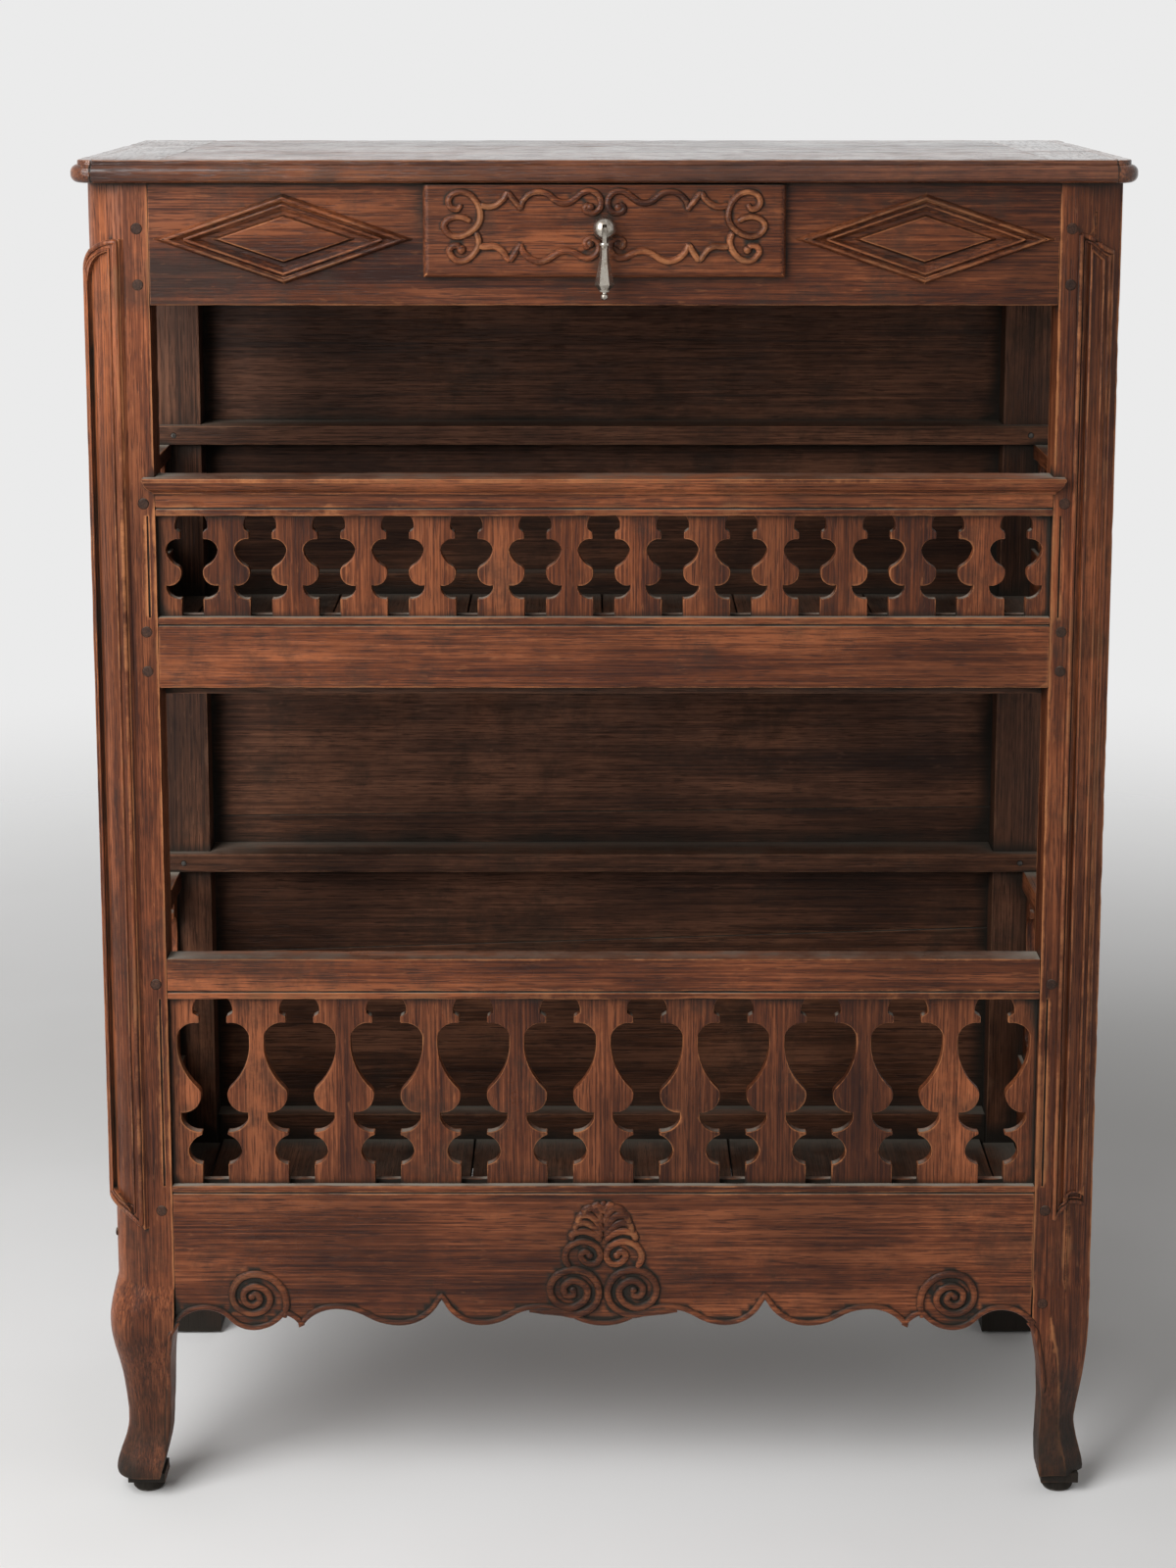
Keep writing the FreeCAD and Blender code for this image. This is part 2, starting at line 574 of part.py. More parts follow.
for fret in ("upper", "lower"):
    node = f"balusters_{fret}_front"
    keep(node, slat_row(node, "XZ_Plane", f"{face} - slat_front - slat_thick", "-post_in", "post_in", fret,
                        f"{fret}_count"))
    rows = []
    for hand, sign in SIDES.items():
        lift = span(sign, "side_out - 15", "side_out - 15 + slat_thick")[0]
        rows.append(slat_row(f"slats_{fret}_{hand}", "YZ_Plane", lift, deep("post_deep"), deep("rear_front"),
                             fret, f"{fret}_side_count"))
    keep(f"balusters_{fret}_sides", group(f"slats_{fret}_pair", rows))

# Ledge moulding along the upper gallery, its profile returned at both ends
front_y, lip_y, foot_y = deep("0"), deep("-ledge_proud"), deep("-ledge_foot")
profile = [(front_y, "ledge_low"), (front_y, "cap_high"), (lip_y, "cap_high"), (lip_y, "cap_high - ledge_lip"),
           (deep("1 - ledge_proud"), "cap_high - ledge_lip"),
           (foot_y, "ledge_low + 2", "12", 1), (foot_y, "ledge_low")]
run = body("ledge_run")
run_sketch = sketch_on(run, "ledge_profile", "YZ_Plane", [profile], "-ledge_half")
pad(run, "ledge_length", run_sketch, "2*ledge_half")
back = "ledge_half - ledge_proud + ledge_foot"
ends = [("ledge_half", "cap_high"), ("-ledge_half", "cap_high"), ("-ledge_half", "cap_high - ledge_lip"),
        ("1 - ledge_half", "cap_high - ledge_lip"), (f"-({back})", "ledge_low + 2", "12", 1),
        (f"-({back})", "ledge_low"), (back, "ledge_low"), (back, "ledge_low + 2"),
        ("ledge_half - 1", "cap_high - ledge_lip", "12", 1), ("ledge_half", "cap_high - ledge_lip")]
returns = body("ledge_returns")
returns_sketch = sketch_on(returns, "ledge_ends", "XZ_Plane", [ends], f"{face} - 5")
pad(returns, "ledge_ends_length", returns_sketch, "ledge_proud + 10")
keep("ledge_moulding", common("ledge_moulding_piece", run, returns))


# Front posts: straight shaft, cabriole leg below, raised frame on the outer corner
def post_section(hand, sign, station=None):
    """Plan outline of the shaft, or of one station of the leg."""
    if station is None:
        out, inner, front = "post_out", "post_in", "0"
        wide, depth = ("corner_round", "corner_round") if hand == "left" else ("cant_wide", "cant_deep")
    else:
        stem = f"{hand}_{station}"
        out, inner, front = f"post_out + {stem}_swell", f"post_in + {stem}_inset", f"-{stem}_swell"
        wide, depth = f"{stem}_corner_wide", f"{stem}_corner_deep"
    corner = (f"{sign}*({out} - {wide})", deep(front))
    if hand == "left":
        corner += (wide, 1)
    return [(f"{sign}*({inner})", deep("post_deep")), (f"{sign}*({out})", deep("post_deep")),
            (f"{sign}*({out})", deep(f"{front} + {depth}")), corner, (f"{sign}*({inner})", deep(front))]


def round_frame(owner_name):
    """Frame round the left corner: a ring cut along the diagonal, capped by a larger corner."""
    ring_body = body(f"{owner_name}_ring")
    reach, rim = "frame_inner/sqrt(2)", "frame_inner/sqrt(2) - frame_wide*0.83"
    def ring(half, drop):
        low, high = f"frame_low + {drop}", f"frame_high - {drop}"
        return [(f"-({half})", f"{low} + frame_low_dip*0.75"), ("0", f"{low} + frame_low_dip*0.6", "60", -1),
                (half, low, "36", -1), (half, high), ("0", f"{high} - frame_high_dip*0.3", "44", 1),
                (f"-({half})", f"{high} - frame_high_dip*1.25", "44", 1)]

    sketch = sketch_on(ring_body, f"{owner_name}_ring_outline", "XZ_Plane",
                       [ring(reach, "0"), ring(rim, "frame_wide")], face, ("-post_out", "0"), -45)
    ring_pad = pad(ring_body, f"{owner_name}_ring_depth", sketch, "90")
    ring_pad.Midplane = True
    cover = body(f"{owner_name}_cover")
    out, bow = "post_out + frame_proud", "corner_round + frame_proud"
    loop = [("-post_in", deep("post_deep")), (f"-({out})", deep("post_deep")),
            (f"-({out})", deep("corner_round")), ("corner_round - post_out", deep("-frame_proud"), bow, 1),
            ("-post_in", deep("-frame_proud"))]
    sketch = sketch_on(cover, f"{owner_name}_cover_outline", "XY_Plane", [loop], "frame_low - 5")
    pad(cover, f"{owner_name}_cover_height", sketch, "frame_high - frame_low + 10")
    return common(f"{owner_name}_frame", cover, ring_body)


def cant_frame(owner_name):
    """Narrow framed panel on the canted corner of the right post: a rim and a field inside it."""
    rim, table = body(f"{owner_name}_rim"), body(f"{owner_name}_table")
    near, far = "panel_start", "panel_start + panel_wide"

    def ring(rim):
        left, right = f"{near} + {rim}", f"{far} - {rim}"
        middle = f"({near} + {far})/2"
        return [(left, f"panel_low + {rim}"), (middle, f"panel_low + panel_arch*2 + {rim}", "30", -1),
                (right, f"panel_low + panel_rise + {rim}", "30", -1),
                (right, f"panel_high - panel_fall - {rim}"),
                (middle, f"panel_high - panel_fall/2 - {rim}", "28", 1),
                (left, f"panel_high - {rim}", "28", -1)]

    slope = "sqrt(cant_wide^2 + cant_deep^2)"
    at = (f"post_out - cant_wide - frame_root*cant_deep/{slope}", "0")
    lift = f"{face} - frame_root*cant_wide/{slope}"
    turn = math.degrees(math.atan2(value("cant_deep"), value("cant_wide")))
    sketch = sketch_on(rim, f"{owner_name}_panel", "XZ_Plane", [ring("0"), ring("panel_rim")], lift, at, turn)
    pad(rim, f"{owner_name}_panel_rim", sketch, "frame_root + frame_proud")
    sketch = sketch_on(table, f"{owner_name}_field", "XZ_Plane", [ring("panel_rim + 4.5")], lift, at, turn)
    pad(table, f"{owner_name}_panel_field", sketch, "frame_root + frame_proud/2")
    return [rim, table]


for hand, sign in SIDES.items():
    node = f"front_post_{hand}"
    owner = body(f"{node}_timber")
    shaft = sketch_on(owner, f"{node}_shaft", "XY_Plane", [post_section(hand, sign)], "leg_top")
    pad(owner, f"{node}_shaft_length", shaft, "top_under - leg_top")
    sections = [sketch_on(owner, f"{node}_hip", "XY_Plane", [post_section(hand, sign)], "leg_top")]
    for index, station in enumerate(STATIONS, start=1):
        level = f"leg_top - (leg_top - sole_level)*{index}/{len(STATIONS)}"
        sections.append(sketch_on(owner, f"{node}_{station}", "XY_Plane", [post_section(hand, sign, station)], level))
    leg = owner.newObject("PartDesign::AdditiveLoft", f"{node}_leg")
    leg.Profile = sections[0]
    leg.Sections = sections[1:]
    heel = rectangle((f"{sign}*foot_x - foot_half", f"{sign}*foot_x + foot_half"),
                     (deep("foot_d - foot_half"), deep("foot_d + foot_half - 3")))
    heel_sketch = sketch_on(owner, f"{node}_heel", "XY_Plane", [heel], "foot_level")
    pad(owner, f"{node}_heel_block", heel_sketch, "sole_level - foot_level + 0.5")
    frame = [round_frame(node)] if hand == "left" else cant_frame(node)
    wood = fuse(f"{node}_framed", [owner] + frame)
    quirk_x = span(sign, "post_in + bead_wide", "post_in + bead_wide + quirk")
    quirks = [block(f"{node}_quirk_{fret}", quirk_x, ("-1", "quirk"), (f"{fret}_fret_low", f"{fret}_fret_high"))
              for fret in ("upper", "lower")]
    spigot = rod(f"{node}_spigot_hole", "spigot_round", "spigot_long", f"{sign}*foot_x", "foot_d", "foot_level", "z")
    wood = cut(f"{node}_mortised", wood, tenons["front", sign] + quirks + [spigot])
    keep(node, cut(f"{node}_drilled", wood, holes["front", sign]))

# Rear posts: straight, with rebates for the back boards
for hand, sign in SIDES.items():
    node = f"rear_post_{hand}"
    shaft = block(f"{node}_timber", span(sign, "rear_in", "post_out"), ("rear_front", "rear_back"),
                  ("glide_thick", "top_under"))
    rebate = block(f"{node}_rebate", span(sign, "rear_in", "rear_in + rebate_wide"),
                   ("rear_back - rebate_deep", "rear_back"), ("back_low", "top_under"))
    wood = cut(f"{node}_mortised", cut(f"{node}_rebated", shaft, [rebate]), tenons["rear", sign])
    keep(node, cut(f"{node}_drilled", wood, holes["rear", sign]))

# Pads under the front legs and metal glides under all four feet
pads = []
glides = []
for hand, sign in SIDES.items():
    disc = rod(f"pad_disc_{hand}", "pad_round", "foot_level - glide_thick", f"{sign}*foot_x", "foot_d",
               "glide_thick", "z")
    spigot = rod(f"pad_spigot_{hand}", "spigot_round", "spigot_long", f"{sign}*foot_x", "foot_d", "foot_level", "z")
    pads.append(fuse(f"pad_{hand}", [disc, spigot]))
    rear_x, rear_d = f"{sign}*(rear_in + post_out)/2", "(rear_front + rear_back)/2"
    for row, x, d in (("front", f"{sign}*foot_x", "foot_d"), ("rear", rear_x, rear_d)):
        glides.append(rod(f"glide_{row}_{hand}", "glide_round", "glide_thick", x, d, "0", "z"))
keep("foot_pads", group("foot_pad_pair", pads))
keep("foot_glides", group("foot_glide_set", glides))

keep("joint_pegs", group("joint_peg_set", front_pegs + side_pegs + rear_pegs))
keep("ledge_nails", group("ledge_nail_set", ledge_nails))

# Board floors on cleats; the boards run from front to back
cleats = []
for level, top in (("upper", "upper_floor"), ("lower", "lower_floor")):
    z = (f"{top} - floor_thick", top)
    boards = []
    run_d = ("rail_thick", "rear_rail_front")
    for index in range(SIZES["floor_count"]):
        step = "(2*post_in - floor_gap)/floor_count"
        start = f"floor_gap - post_in + {index}*{step}"
        boards.append(block(f"floor_{level}_{index}", (start, f"{start} + {step} - floor_gap"), run_d, z))
    for hand, sign in SIDES.items():
        boards.append(block(f"floor_{level}_{hand}", span(sign, "post_in", "floor_half"),
                            ("post_deep", "rear_front"), z))
    keep(f"floor_boards_{level}", group(f"floor_{level}_set", boards))
    cleat_z = (f"{top} - floor_thick - cleat_tall", f"{top} - floor_thick")
    cleats.append(block(f"cleat_{level}_front", ("-post_in + 2", "post_in - 2"),
                        ("rail_thick", "rail_thick + cleat_deep"), cleat_z))
    cleats.append(block(f"cleat_{level}_rear", ("-rear_in + 2", "rear_in - 2"),
                        ("rear_rail_front - cleat_deep", "rear_rail_front"), cleat_z))
keep("floor_cleats", group("floor_cleat_set", cleats))

# Top: one moulded blank, sawn into field boards, end boards and edge mouldings
blank = body("top_blank")


def top_outline(inset):
    half, front, back, bow = f"top_half - {inset}", deep(f"{inset} - top_over"), deep("top_back"), f"top_corner - {inset}"
    return [(f"-({half})", back), (f"-({half})", f"{front} + {bow}"), (f"{bow} - ({half})", front, bow, 1),
            (f"{half} - ({bow})", front), (half, f"{front} + {bow}", bow, 1), (half, back)]


plate_sketch = sketch_on(blank, "top_plate_outline", "XY_Plane", [top_outline("0")], "top_under")
plate = pad(blank, "top_plate_thickness", plate_sketch, "top_plate")
doc.recompute()
rear_edge = value(deep("top_back"))
levels = (value("top_under"), value("top_under + top_plate"))
moulded = []
for index, edge in enumerate(plate.Shape.Edges, start=1):
    box = edge.BoundBox
    flat = box.ZLength < 0.01 and any(abs(box.ZMin - level) < 0.01 for level in levels)
    if flat and not box.YMin > rear_edge - 0.01:
        moulded.append(f"Edge{index}")
nose = blank.newObject("PartDesign::Fillet", "top_nose")
nose.Base = (plate, moulded)
bind(nose, "Radius", "top_round")
doc.recompute()
step_sketch = sketch_on(blank, "top_cap_outline", "XY_Plane", [top_outline("top_step")],
                        "top_under + top_plate - 1")
pad(blank, "top_cap_thickness", step_sketch, "top_cap + 1")

z = ("top_under - 1", "top_under + top_plate + top_cap + 1")
tongue_z = ("top_under + 8", "top_under + 8 + board_tongue_thick")
field_half = "top_half - moulding_wide - end_board"
seam = "moulding_wide - top_over"
FIELD = (("front", seam, "field_joint_front"), ("middle", "field_joint_front", "field_joint_rear"),
         ("rear", "field_joint_rear", "top_back"))
tongues = {sign: [] for sign in SIDES.values()}
for place, near, far in FIELD:
    far = far if place == "rear" else f"{far} - board_gap"
    saw = block(f"field_{place}_saw", (f"-({field_half})", field_half), (near, far), z)
    ends = []
    for hand, sign in SIDES.items():
        tongue = block(f"field_{place}_tongue_{hand}", span(sign, field_half, f"{field_half} + board_tongue"),
                       (f"{near} + 8", f"{far} - 8"), tongue_z)
        ends.append(tongue)
        tongues[sign].append(tongue)
    board = common(f"field_{place}_board", blank, saw)
    keep(f"top_board_{place}", fuse(f"field_{place}_tongued", [board] + ends))
for hand, sign in SIDES.items():
    saw = block(f"end_{hand}_saw", span(sign, field_half, "top_half - moulding_wide"), (seam, "top_back"), z)
    board = common(f"end_{hand}_board", blank, saw)
    keep(f"top_end_{hand}", cut(f"end_{hand}_grooved", board, tongues[sign]))
    edge_saw = block(f"edge_{hand}_saw", span(sign, "top_half - moulding_wide", "top_half + 1"),
                     ("-top_over - 1", "top_back"), z)
    turn_saw = block(f"edge_{hand}_turn", span(sign, "top_half - moulding_turn", "top_half - moulding_wide"),
                     ("-top_over - 1", seam), z)
    keep(f"top_moulding_{hand}", common(f"edge_{hand}_strip", blank, fuse(f"edge_{hand}_saws", [edge_saw, turn_saw])))
saw = block("edge_front_saw", ("moulding_turn - top_half", "top_half - moulding_turn"), ("-top_over - 1", seam), z)
keep("top_moulding_front", common("edge_front_strip", blank, saw))

# Drawer runners with their guides
for hand, sign in SIDES.items():
    low, high = "box_low - runner_gap - runner_tall", "box_low - runner_gap"
    guide_in = "box_half + guide_gap"
    bearer = block(f"runner_{hand}_bearer", span(sign, "runner_in", f"{guide_in} + guide_wide"),
                   ("rail_thick", "rear_rail_front"), (low, high))
    stubs = [block(f"runner_{hand}_stub_{row}", span(sign, "runner_in + 4", "runner_in + 28"), d,
                   (f"{low} + 4", f"{high} - 4"))
             for row, d in (("front", ("rail_thick - runner_tenon", "rail_thick")),
                            ("rear", ("rear_rail_front", "rear_rail_front + runner_tenon")))]
    guide = block(f"guide_{hand}_strip", span(sign, guide_in, f"{guide_in} + guide_wide"),
                  ("rail_thick", "rear_rail_front"), (high, "guide_high"))
    keep(f"drawer_runner_{hand}", fuse(f"runner_{hand}_wood", [bearer, guide] + stubs))

# Drawer
front_body = body("drawer_front_blank")
lip_sketch = sketch_on(front_body, "lip_outline", "XZ_Plane",
                       [rectangle(("-drawer_half", "drawer_half"), ("drawer_low", "drawer_high"))],
                       f"{face} + lip_gap")
lip = pad(front_body, "lip_thickness", lip_sketch, "drawer_proud - lip_gap")
doc.recompute()
lip_face = value(deep("-drawer_proud"))
lip_top = value("drawer_high")
rounded = []
for index, edge in enumerate(lip.Shape.Edges, start=1):
    box = edge.BoundBox
    if abs(box.YMax - lip_face) < 0.01 and box.ZMin < lip_top - 0.01:
        rounded.append(f"Edge{index}")
soft = front_body.newObject("PartDesign::Fillet", "lip_rounding")
soft.Base = (lip, rounded)
bind(soft, "Radius", "lip_round")
plug_sketch = sketch_on(front_body, "plug_outline", "XZ_Plane",
                        [rectangle(("box_thick - box_half", "box_half - box_thick"), ("box_low", "drawer_high"))],
                        f"{face} - plug_deep")
pad(front_body, "plug_thickness", plug_sketch, "plug_deep + lip_gap + 0.5")
stem_hole = rod("stem_hole", "stem_round", "plug_deep + drawer_proud + 2", "0", "-drawer_proud - 1", "knob_z", "y")
bottom_x = ("box_thick - bottom_groove - box_half", "box_half - box_thick + bottom_groove")
bottom_z = ("bottom_low", "bottom_low + bottom_thick")
bottom_board = block("drawer_bottom_board", bottom_x, ("plug_deep - bottom_groove", "box_back"), bottom_z)
keep("drawer_bottom", bottom_board)
keep("drawer_front", cut("drawer_front_bored", front_body, [stem_hole, bottom_board]))
for hand, sign in SIDES.items():
    board = block(f"drawer_side_{hand}_board", span(sign, "box_half - box_thick", "box_half"),
                  ("-lip_gap", "box_back"), ("box_low", "side_high"))
    keep(f"drawer_side_{hand}", cut(f"drawer_side_{hand}_grooved", board, [bottom_board]))
keep("drawer_back", block("drawer_back_board", ("box_thick - box_half", "box_half - box_thick"),
                          ("box_back - box_thick", "box_back"), ("drawer_back_low", "drawer_back_high")))

# Drop pull: turned knob with a fork slot, stem, nut, pivot pin and faceted drop
ball_d = "-(knob_out - ball_round)"
knob = body("pull_knob_blank")
ball_y = deep(ball_d)
start_y = deep("-drawer_proud")
neck_y = f"{ball_y} + sqrt(ball_round^2 - neck_round^2)"
end_y = deep("stem_end")
turning = [("0", f"{ball_y} - ball_round"), ("ball_round", ball_y, "ball_round", 1),
           ("neck_round", neck_y, "ball_round", 1), ("neck_round", f"{start_y} - rose_thick"),
           ("rose_round", f"{start_y} - rose_thick"), ("rose_round", start_y), ("stem_round", start_y),
           ("stem_round", end_y), ("0", end_y)]
knob_sketch = sketch_on(knob, "knob_profile", "XY_Plane", [turning], "knob_z")
spin = knob.newObject("PartDesign::Revolution", "knob_turning")
spin.Profile = knob_sketch
spin.ReferenceAxis = (knob_sketch, ["V_Axis"])
spin.Angle = 360
slot = block("knob_slot", ("-slot_half", "slot_half"), (f"{ball_d} - ball_round - 1", f"{ball_d} + slot_back"),
             ("knob_z - ball_round - 1", "knob_z + slot_back"))
pin = rod("pull_pin_rod", "pin_round", "2*pin_half", "-pin_half", ball_d, "knob_z", "x")
keep("pull_pin", pin)
keep("pull_knob", cut("pull_knob_drilled", cut("pull_knob_slotted", knob, [slot]), [pin]))

nut_body = body("pull_nut_blank")
corner = "nut_round"
half = "nut_round*0.5"
reach = "nut_round*sqrt(3)/2"
hexagon = [(corner, "knob_z"), (half, f"knob_z + {reach}"), (f"-{half}", f"knob_z + {reach}"),
           (f"-{corner}", "knob_z"), (f"-{half}", f"knob_z - {reach}"), (half, f"knob_z - {reach}")]
nut_sketch = sketch_on(nut_body, "nut_outline", "XZ_Plane", [hexagon], f"{face} - plug_deep - nut_thick")
pad(nut_body, "nut_thickness", nut_sketch, "nut_thick")
thread = rod("nut_bore", "stem_round", "nut_thick + 2", "0", "plug_deep - 1", "knob_z", "y")
keep("pull_nut", cut("pull_nut_bored", nut_body, [thread]))

drop = body("pull_drop_blank")


def hexagon_at(radius):
    ring = []
    for x, y in ((1, 0), (0.5, 0.866), (-0.5, 0.866), (-1, 0), (-0.5, -0.866), (0.5, -0.866)):
        ring.append((f"{x}*{radius}", f"{ball_y} + {y}*{radius}"))
    return ring


DROP = (("shoulder", 0.93, 0.42), ("waist", 0.70, 0.52), ("belly", 0.36, 0.88), ("hip", 0.27, 1.0), ("heel", 0.185, 0.62))
facets = [sketch_on(drop, f"drop_{name}", "XY_Plane", [hexagon_at(f"{wide}*drop_wide")],
                    f"drop_low + {share}*(drop_top - drop_low)") for name, share, wide in DROP]
tear = drop.newObject("PartDesign::AdditiveLoft", "drop_facets")
tear.Profile = facets[0]
tear.Sections = facets[1:]
tear.Ruled = True
tall = "(drop_top - drop_low)"
TURNED = (("0", "0"), ("3.1", "0.062", "3.1", 1), ("1.9", "0.115", "3.1", 1), ("1.9", "0.15"), ("4.4", "0.15"), ("4.4", "0.20"),
          ("0", "0.20"))
finial = [(p[0], f"drop_low + {p[1]}*{tall}") + tuple(p[2:]) for p in TURNED]
CROWN = (("0", "0.90"), ("3.4", "0.90"), ("3.4", "0.95"), ("collar_round", "0.96"), ("collar_round", "1"), ("0", "1"))
collar = [(p[0], f"drop_low + {p[1]}*{tall}") for p in CROWN]
for name, loop in (("finial", finial), ("collar", collar)):
    sketch = sketch_on(drop, f"drop_{name}", "XZ_Plane", [loop], f"-({ball_y})")
    spin = drop.newObject("PartDesign::Revolution", f"drop_{name}_turning")
    spin.Profile = sketch
    spin.ReferenceAxis = (sketch, ["V_Axis"])
    spin.Angle = 360
tab = block("drop_tab", ("-tab_half", "tab_half"), (f"{ball_d} - tab_round", f"{ball_d} + tab_round"),
            ("drop_top - 1", "knob_z"))
eye = rod("drop_eye", "tab_round", "2*tab_half", "-tab_half", ball_d, "knob_z", "x")
bore = rod("drop_bore", "eye_round", "2*tab_half + 2", "-tab_half - 1", ball_d, "knob_z", "x")
keep("pull_drop", cut("pull_drop_bored", fuse("pull_drop_whole", [drop, tab, eye]), [bore]))

doc.recompute()

faults = []
for item in doc.Objects:
    if {"Invalid", "Error"} & set(item.State):
        faults.append(f"{item.Name}: {item.State}")
for node, item in nodes.items():
    if item.Shape.isNull() or not item.Shape.isValid() or not item.Shape.Solids:
        faults.append(f"{node}: shape")
if faults:
    raise RuntimeError("; ".join(faults))

os.makedirs("parts", exist_ok=True)
for node, item in nodes.items():
    item.Shape.exportStep(f"parts/{node}.step")
    box = item.Shape.BoundBox
    print(node, len(item.Shape.Solids), round(item.Shape.Volume / 1000, 1),
          [round(v) for v in (box.XMin, box.XMax, box.YMin, box.YMax, box.ZMin, box.ZMax)])
whole = Part.makeCompound([item.Shape for item in nodes.values()]).BoundBox
print("nodes", len(nodes), "box", whole)
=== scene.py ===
# %% [markdown]
# # An old open dresser
# The dresser is a joined oak case: a moulded top over one drawer, two shelves behind galleries of
# sawn balusters, a scalloped apron and two cabriole front legs. The frame already holds every board,
# rail, post and peg at its real size. This lesson gives those pieces two centuries of use: rounded
# arrises, carving, grain, wax, wear and dust.

# %% Load the joined frame
import json
import math
import random

import bmesh
import bpy
import numpy as np
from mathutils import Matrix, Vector, kdtree, noise
from mathutils.bvhtree import BVHTree

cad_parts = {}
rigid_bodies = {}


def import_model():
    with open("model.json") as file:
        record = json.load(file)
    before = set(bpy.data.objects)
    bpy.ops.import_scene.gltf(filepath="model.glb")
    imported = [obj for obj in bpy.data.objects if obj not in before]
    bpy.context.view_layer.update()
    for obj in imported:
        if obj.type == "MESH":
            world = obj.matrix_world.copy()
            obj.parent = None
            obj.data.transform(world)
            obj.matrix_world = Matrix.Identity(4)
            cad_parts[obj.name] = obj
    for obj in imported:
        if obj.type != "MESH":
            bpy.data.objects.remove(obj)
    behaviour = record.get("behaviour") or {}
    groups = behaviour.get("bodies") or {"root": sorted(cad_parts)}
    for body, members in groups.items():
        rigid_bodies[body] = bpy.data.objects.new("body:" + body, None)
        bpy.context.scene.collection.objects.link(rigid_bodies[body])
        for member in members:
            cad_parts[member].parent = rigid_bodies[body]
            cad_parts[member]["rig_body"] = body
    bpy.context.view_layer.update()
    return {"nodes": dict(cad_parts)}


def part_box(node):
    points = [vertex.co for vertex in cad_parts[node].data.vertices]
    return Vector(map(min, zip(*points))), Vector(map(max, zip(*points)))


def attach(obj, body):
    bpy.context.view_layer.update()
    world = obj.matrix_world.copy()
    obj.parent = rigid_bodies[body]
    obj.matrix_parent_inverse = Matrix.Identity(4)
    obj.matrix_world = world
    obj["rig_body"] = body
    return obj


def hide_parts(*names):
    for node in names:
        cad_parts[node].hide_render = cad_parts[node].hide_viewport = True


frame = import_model()
scene = bpy.context.scene
MM = 0.001
SAME_POINT = 2e-6  # points closer than this, in metres, are merged

# %% [markdown]
# ## The viewpoint
# The dresser is seen square on from the front, a little above its top. A real photographer would
# raise the camera and drop the lens so that the posts stay upright. Lens shift does the same here,
# and only as much of it is used as the framing needs.

# %% Camera
TILT_DOWN = 9.763  # degrees below level

view = bpy.data.cameras.new("viewpoint")
view.lens = 67.52
view.sensor_width = 36
view.shift_y = -0.165
camera = bpy.data.objects.new("viewpoint", view)
camera.location = (-0.0142, -2.7573, 1.370)
camera.rotation_euler = (math.radians(90 - TILT_DOWN), 0, 0)
scene.collection.objects.link(camera)
scene.camera = camera
scene.view_settings.view_transform = "Standard"
print("camera:", round(view.lens, 1), "mm lens")

# %% [markdown]
# ## Building node trees in a few words
# Every finish below is a tree of shader nodes. Writing each node by hand takes many lines, so one
# small helper makes a node, sets its options and fills its sockets: a number or colour goes in as a
# value, and another node's output is linked.

# %% Node helper
def put(tree, kind, sockets=None, **options):
    """Add a node; sockets maps an input's name or number to a value or to another node's output."""
    made = tree.nodes.new(kind)
    for name, option in options.items():
        setattr(made, name, option)
    for name, given in (sockets or {}).items():
        if isinstance(given, bpy.types.NodeSocket):
            tree.links.new(given, made.inputs[name])
        else:
            made.inputs[name].default_value = given
    return made


def calc(tree, operation, first, second=0.0, clamp=False):
    """One step of arithmetic between two values."""
    made = put(tree, "ShaderNodeMath", {0: first, 1: second}, operation=operation, use_clamp=clamp)
    return made.outputs[0]


def weighted(tree, *terms):
    """The sum of several values, each times its share."""
    total = None
    for given, share in terms:
        part = calc(tree, "MULTIPLY", given, share)
        total = part if total is None else calc(tree, "ADD", total, part)
    return total


def fade(tree, given, low, high, to_low=0.0, to_high=1.0):
    """A value that climbs smoothly from to_low to to_high between low and high."""
    sockets = {"Value": given, "From Min": low, "From Max": high, "To Min": to_low, "To Max": to_high}
    return put(tree, "ShaderNodeMapRange", sockets, interpolation_type="SMOOTHSTEP").outputs["Result"]


def blend(tree, share, first, second):
    """Mix two colours."""
    return put(tree, "ShaderNodeMix", {0: share, 6: first, 7: second}, data_type="RGBA").outputs[2]


def brighter(tree, colour, factor):
    """A colour times a factor."""
    return put(tree, "ShaderNodeVectorMath", {0: colour, "Scale": factor}, operation="SCALE").outputs[0]


def kept(tree, name, output="Fac"):
    """Read an attribute that is kept on the mesh."""
    made = put(tree, "ShaderNodeAttribute", attribute_name=name, attribute_type="GEOMETRY")
    return made.outputs[output]


def stretched_noise(tree, vector, stretch, detail=3.0, rough=0.55, warp=0.0):
    """Noise drawn out along the board: stretch is the count of waves per metre in each direction."""
    scaled = put(tree, "ShaderNodeVectorMath", {0: vector, 1: stretch}, operation="MULTIPLY").outputs[0]
    sockets = {"Vector": scaled, "Scale": 1.0, "Detail": detail, "Roughness": rough, "Distortion": warp}
    return put(tree, "ShaderNodeTexNoise", sockets).outputs["Fac"]


def group_sockets(tree, inputs, outputs):
    """Name a group's sockets and return its two end nodes."""
    for name, (kind, preset) in inputs.items():
        made = tree.interface.new_socket(name, in_out="INPUT", socket_type=kind)
        if preset is not None:
            made.default_value = preset
    for name, kind in outputs.items():
        tree.interface.new_socket(name, in_out="OUTPUT", socket_type=kind)
    return tree.nodes.new("NodeGroupInput"), tree.nodes.new("NodeGroupOutput")


FLOAT, COLOUR, VECTOR = "NodeSocketFloat", "NodeSocketColor", "NodeSocketVector"
print("node helpers ready")

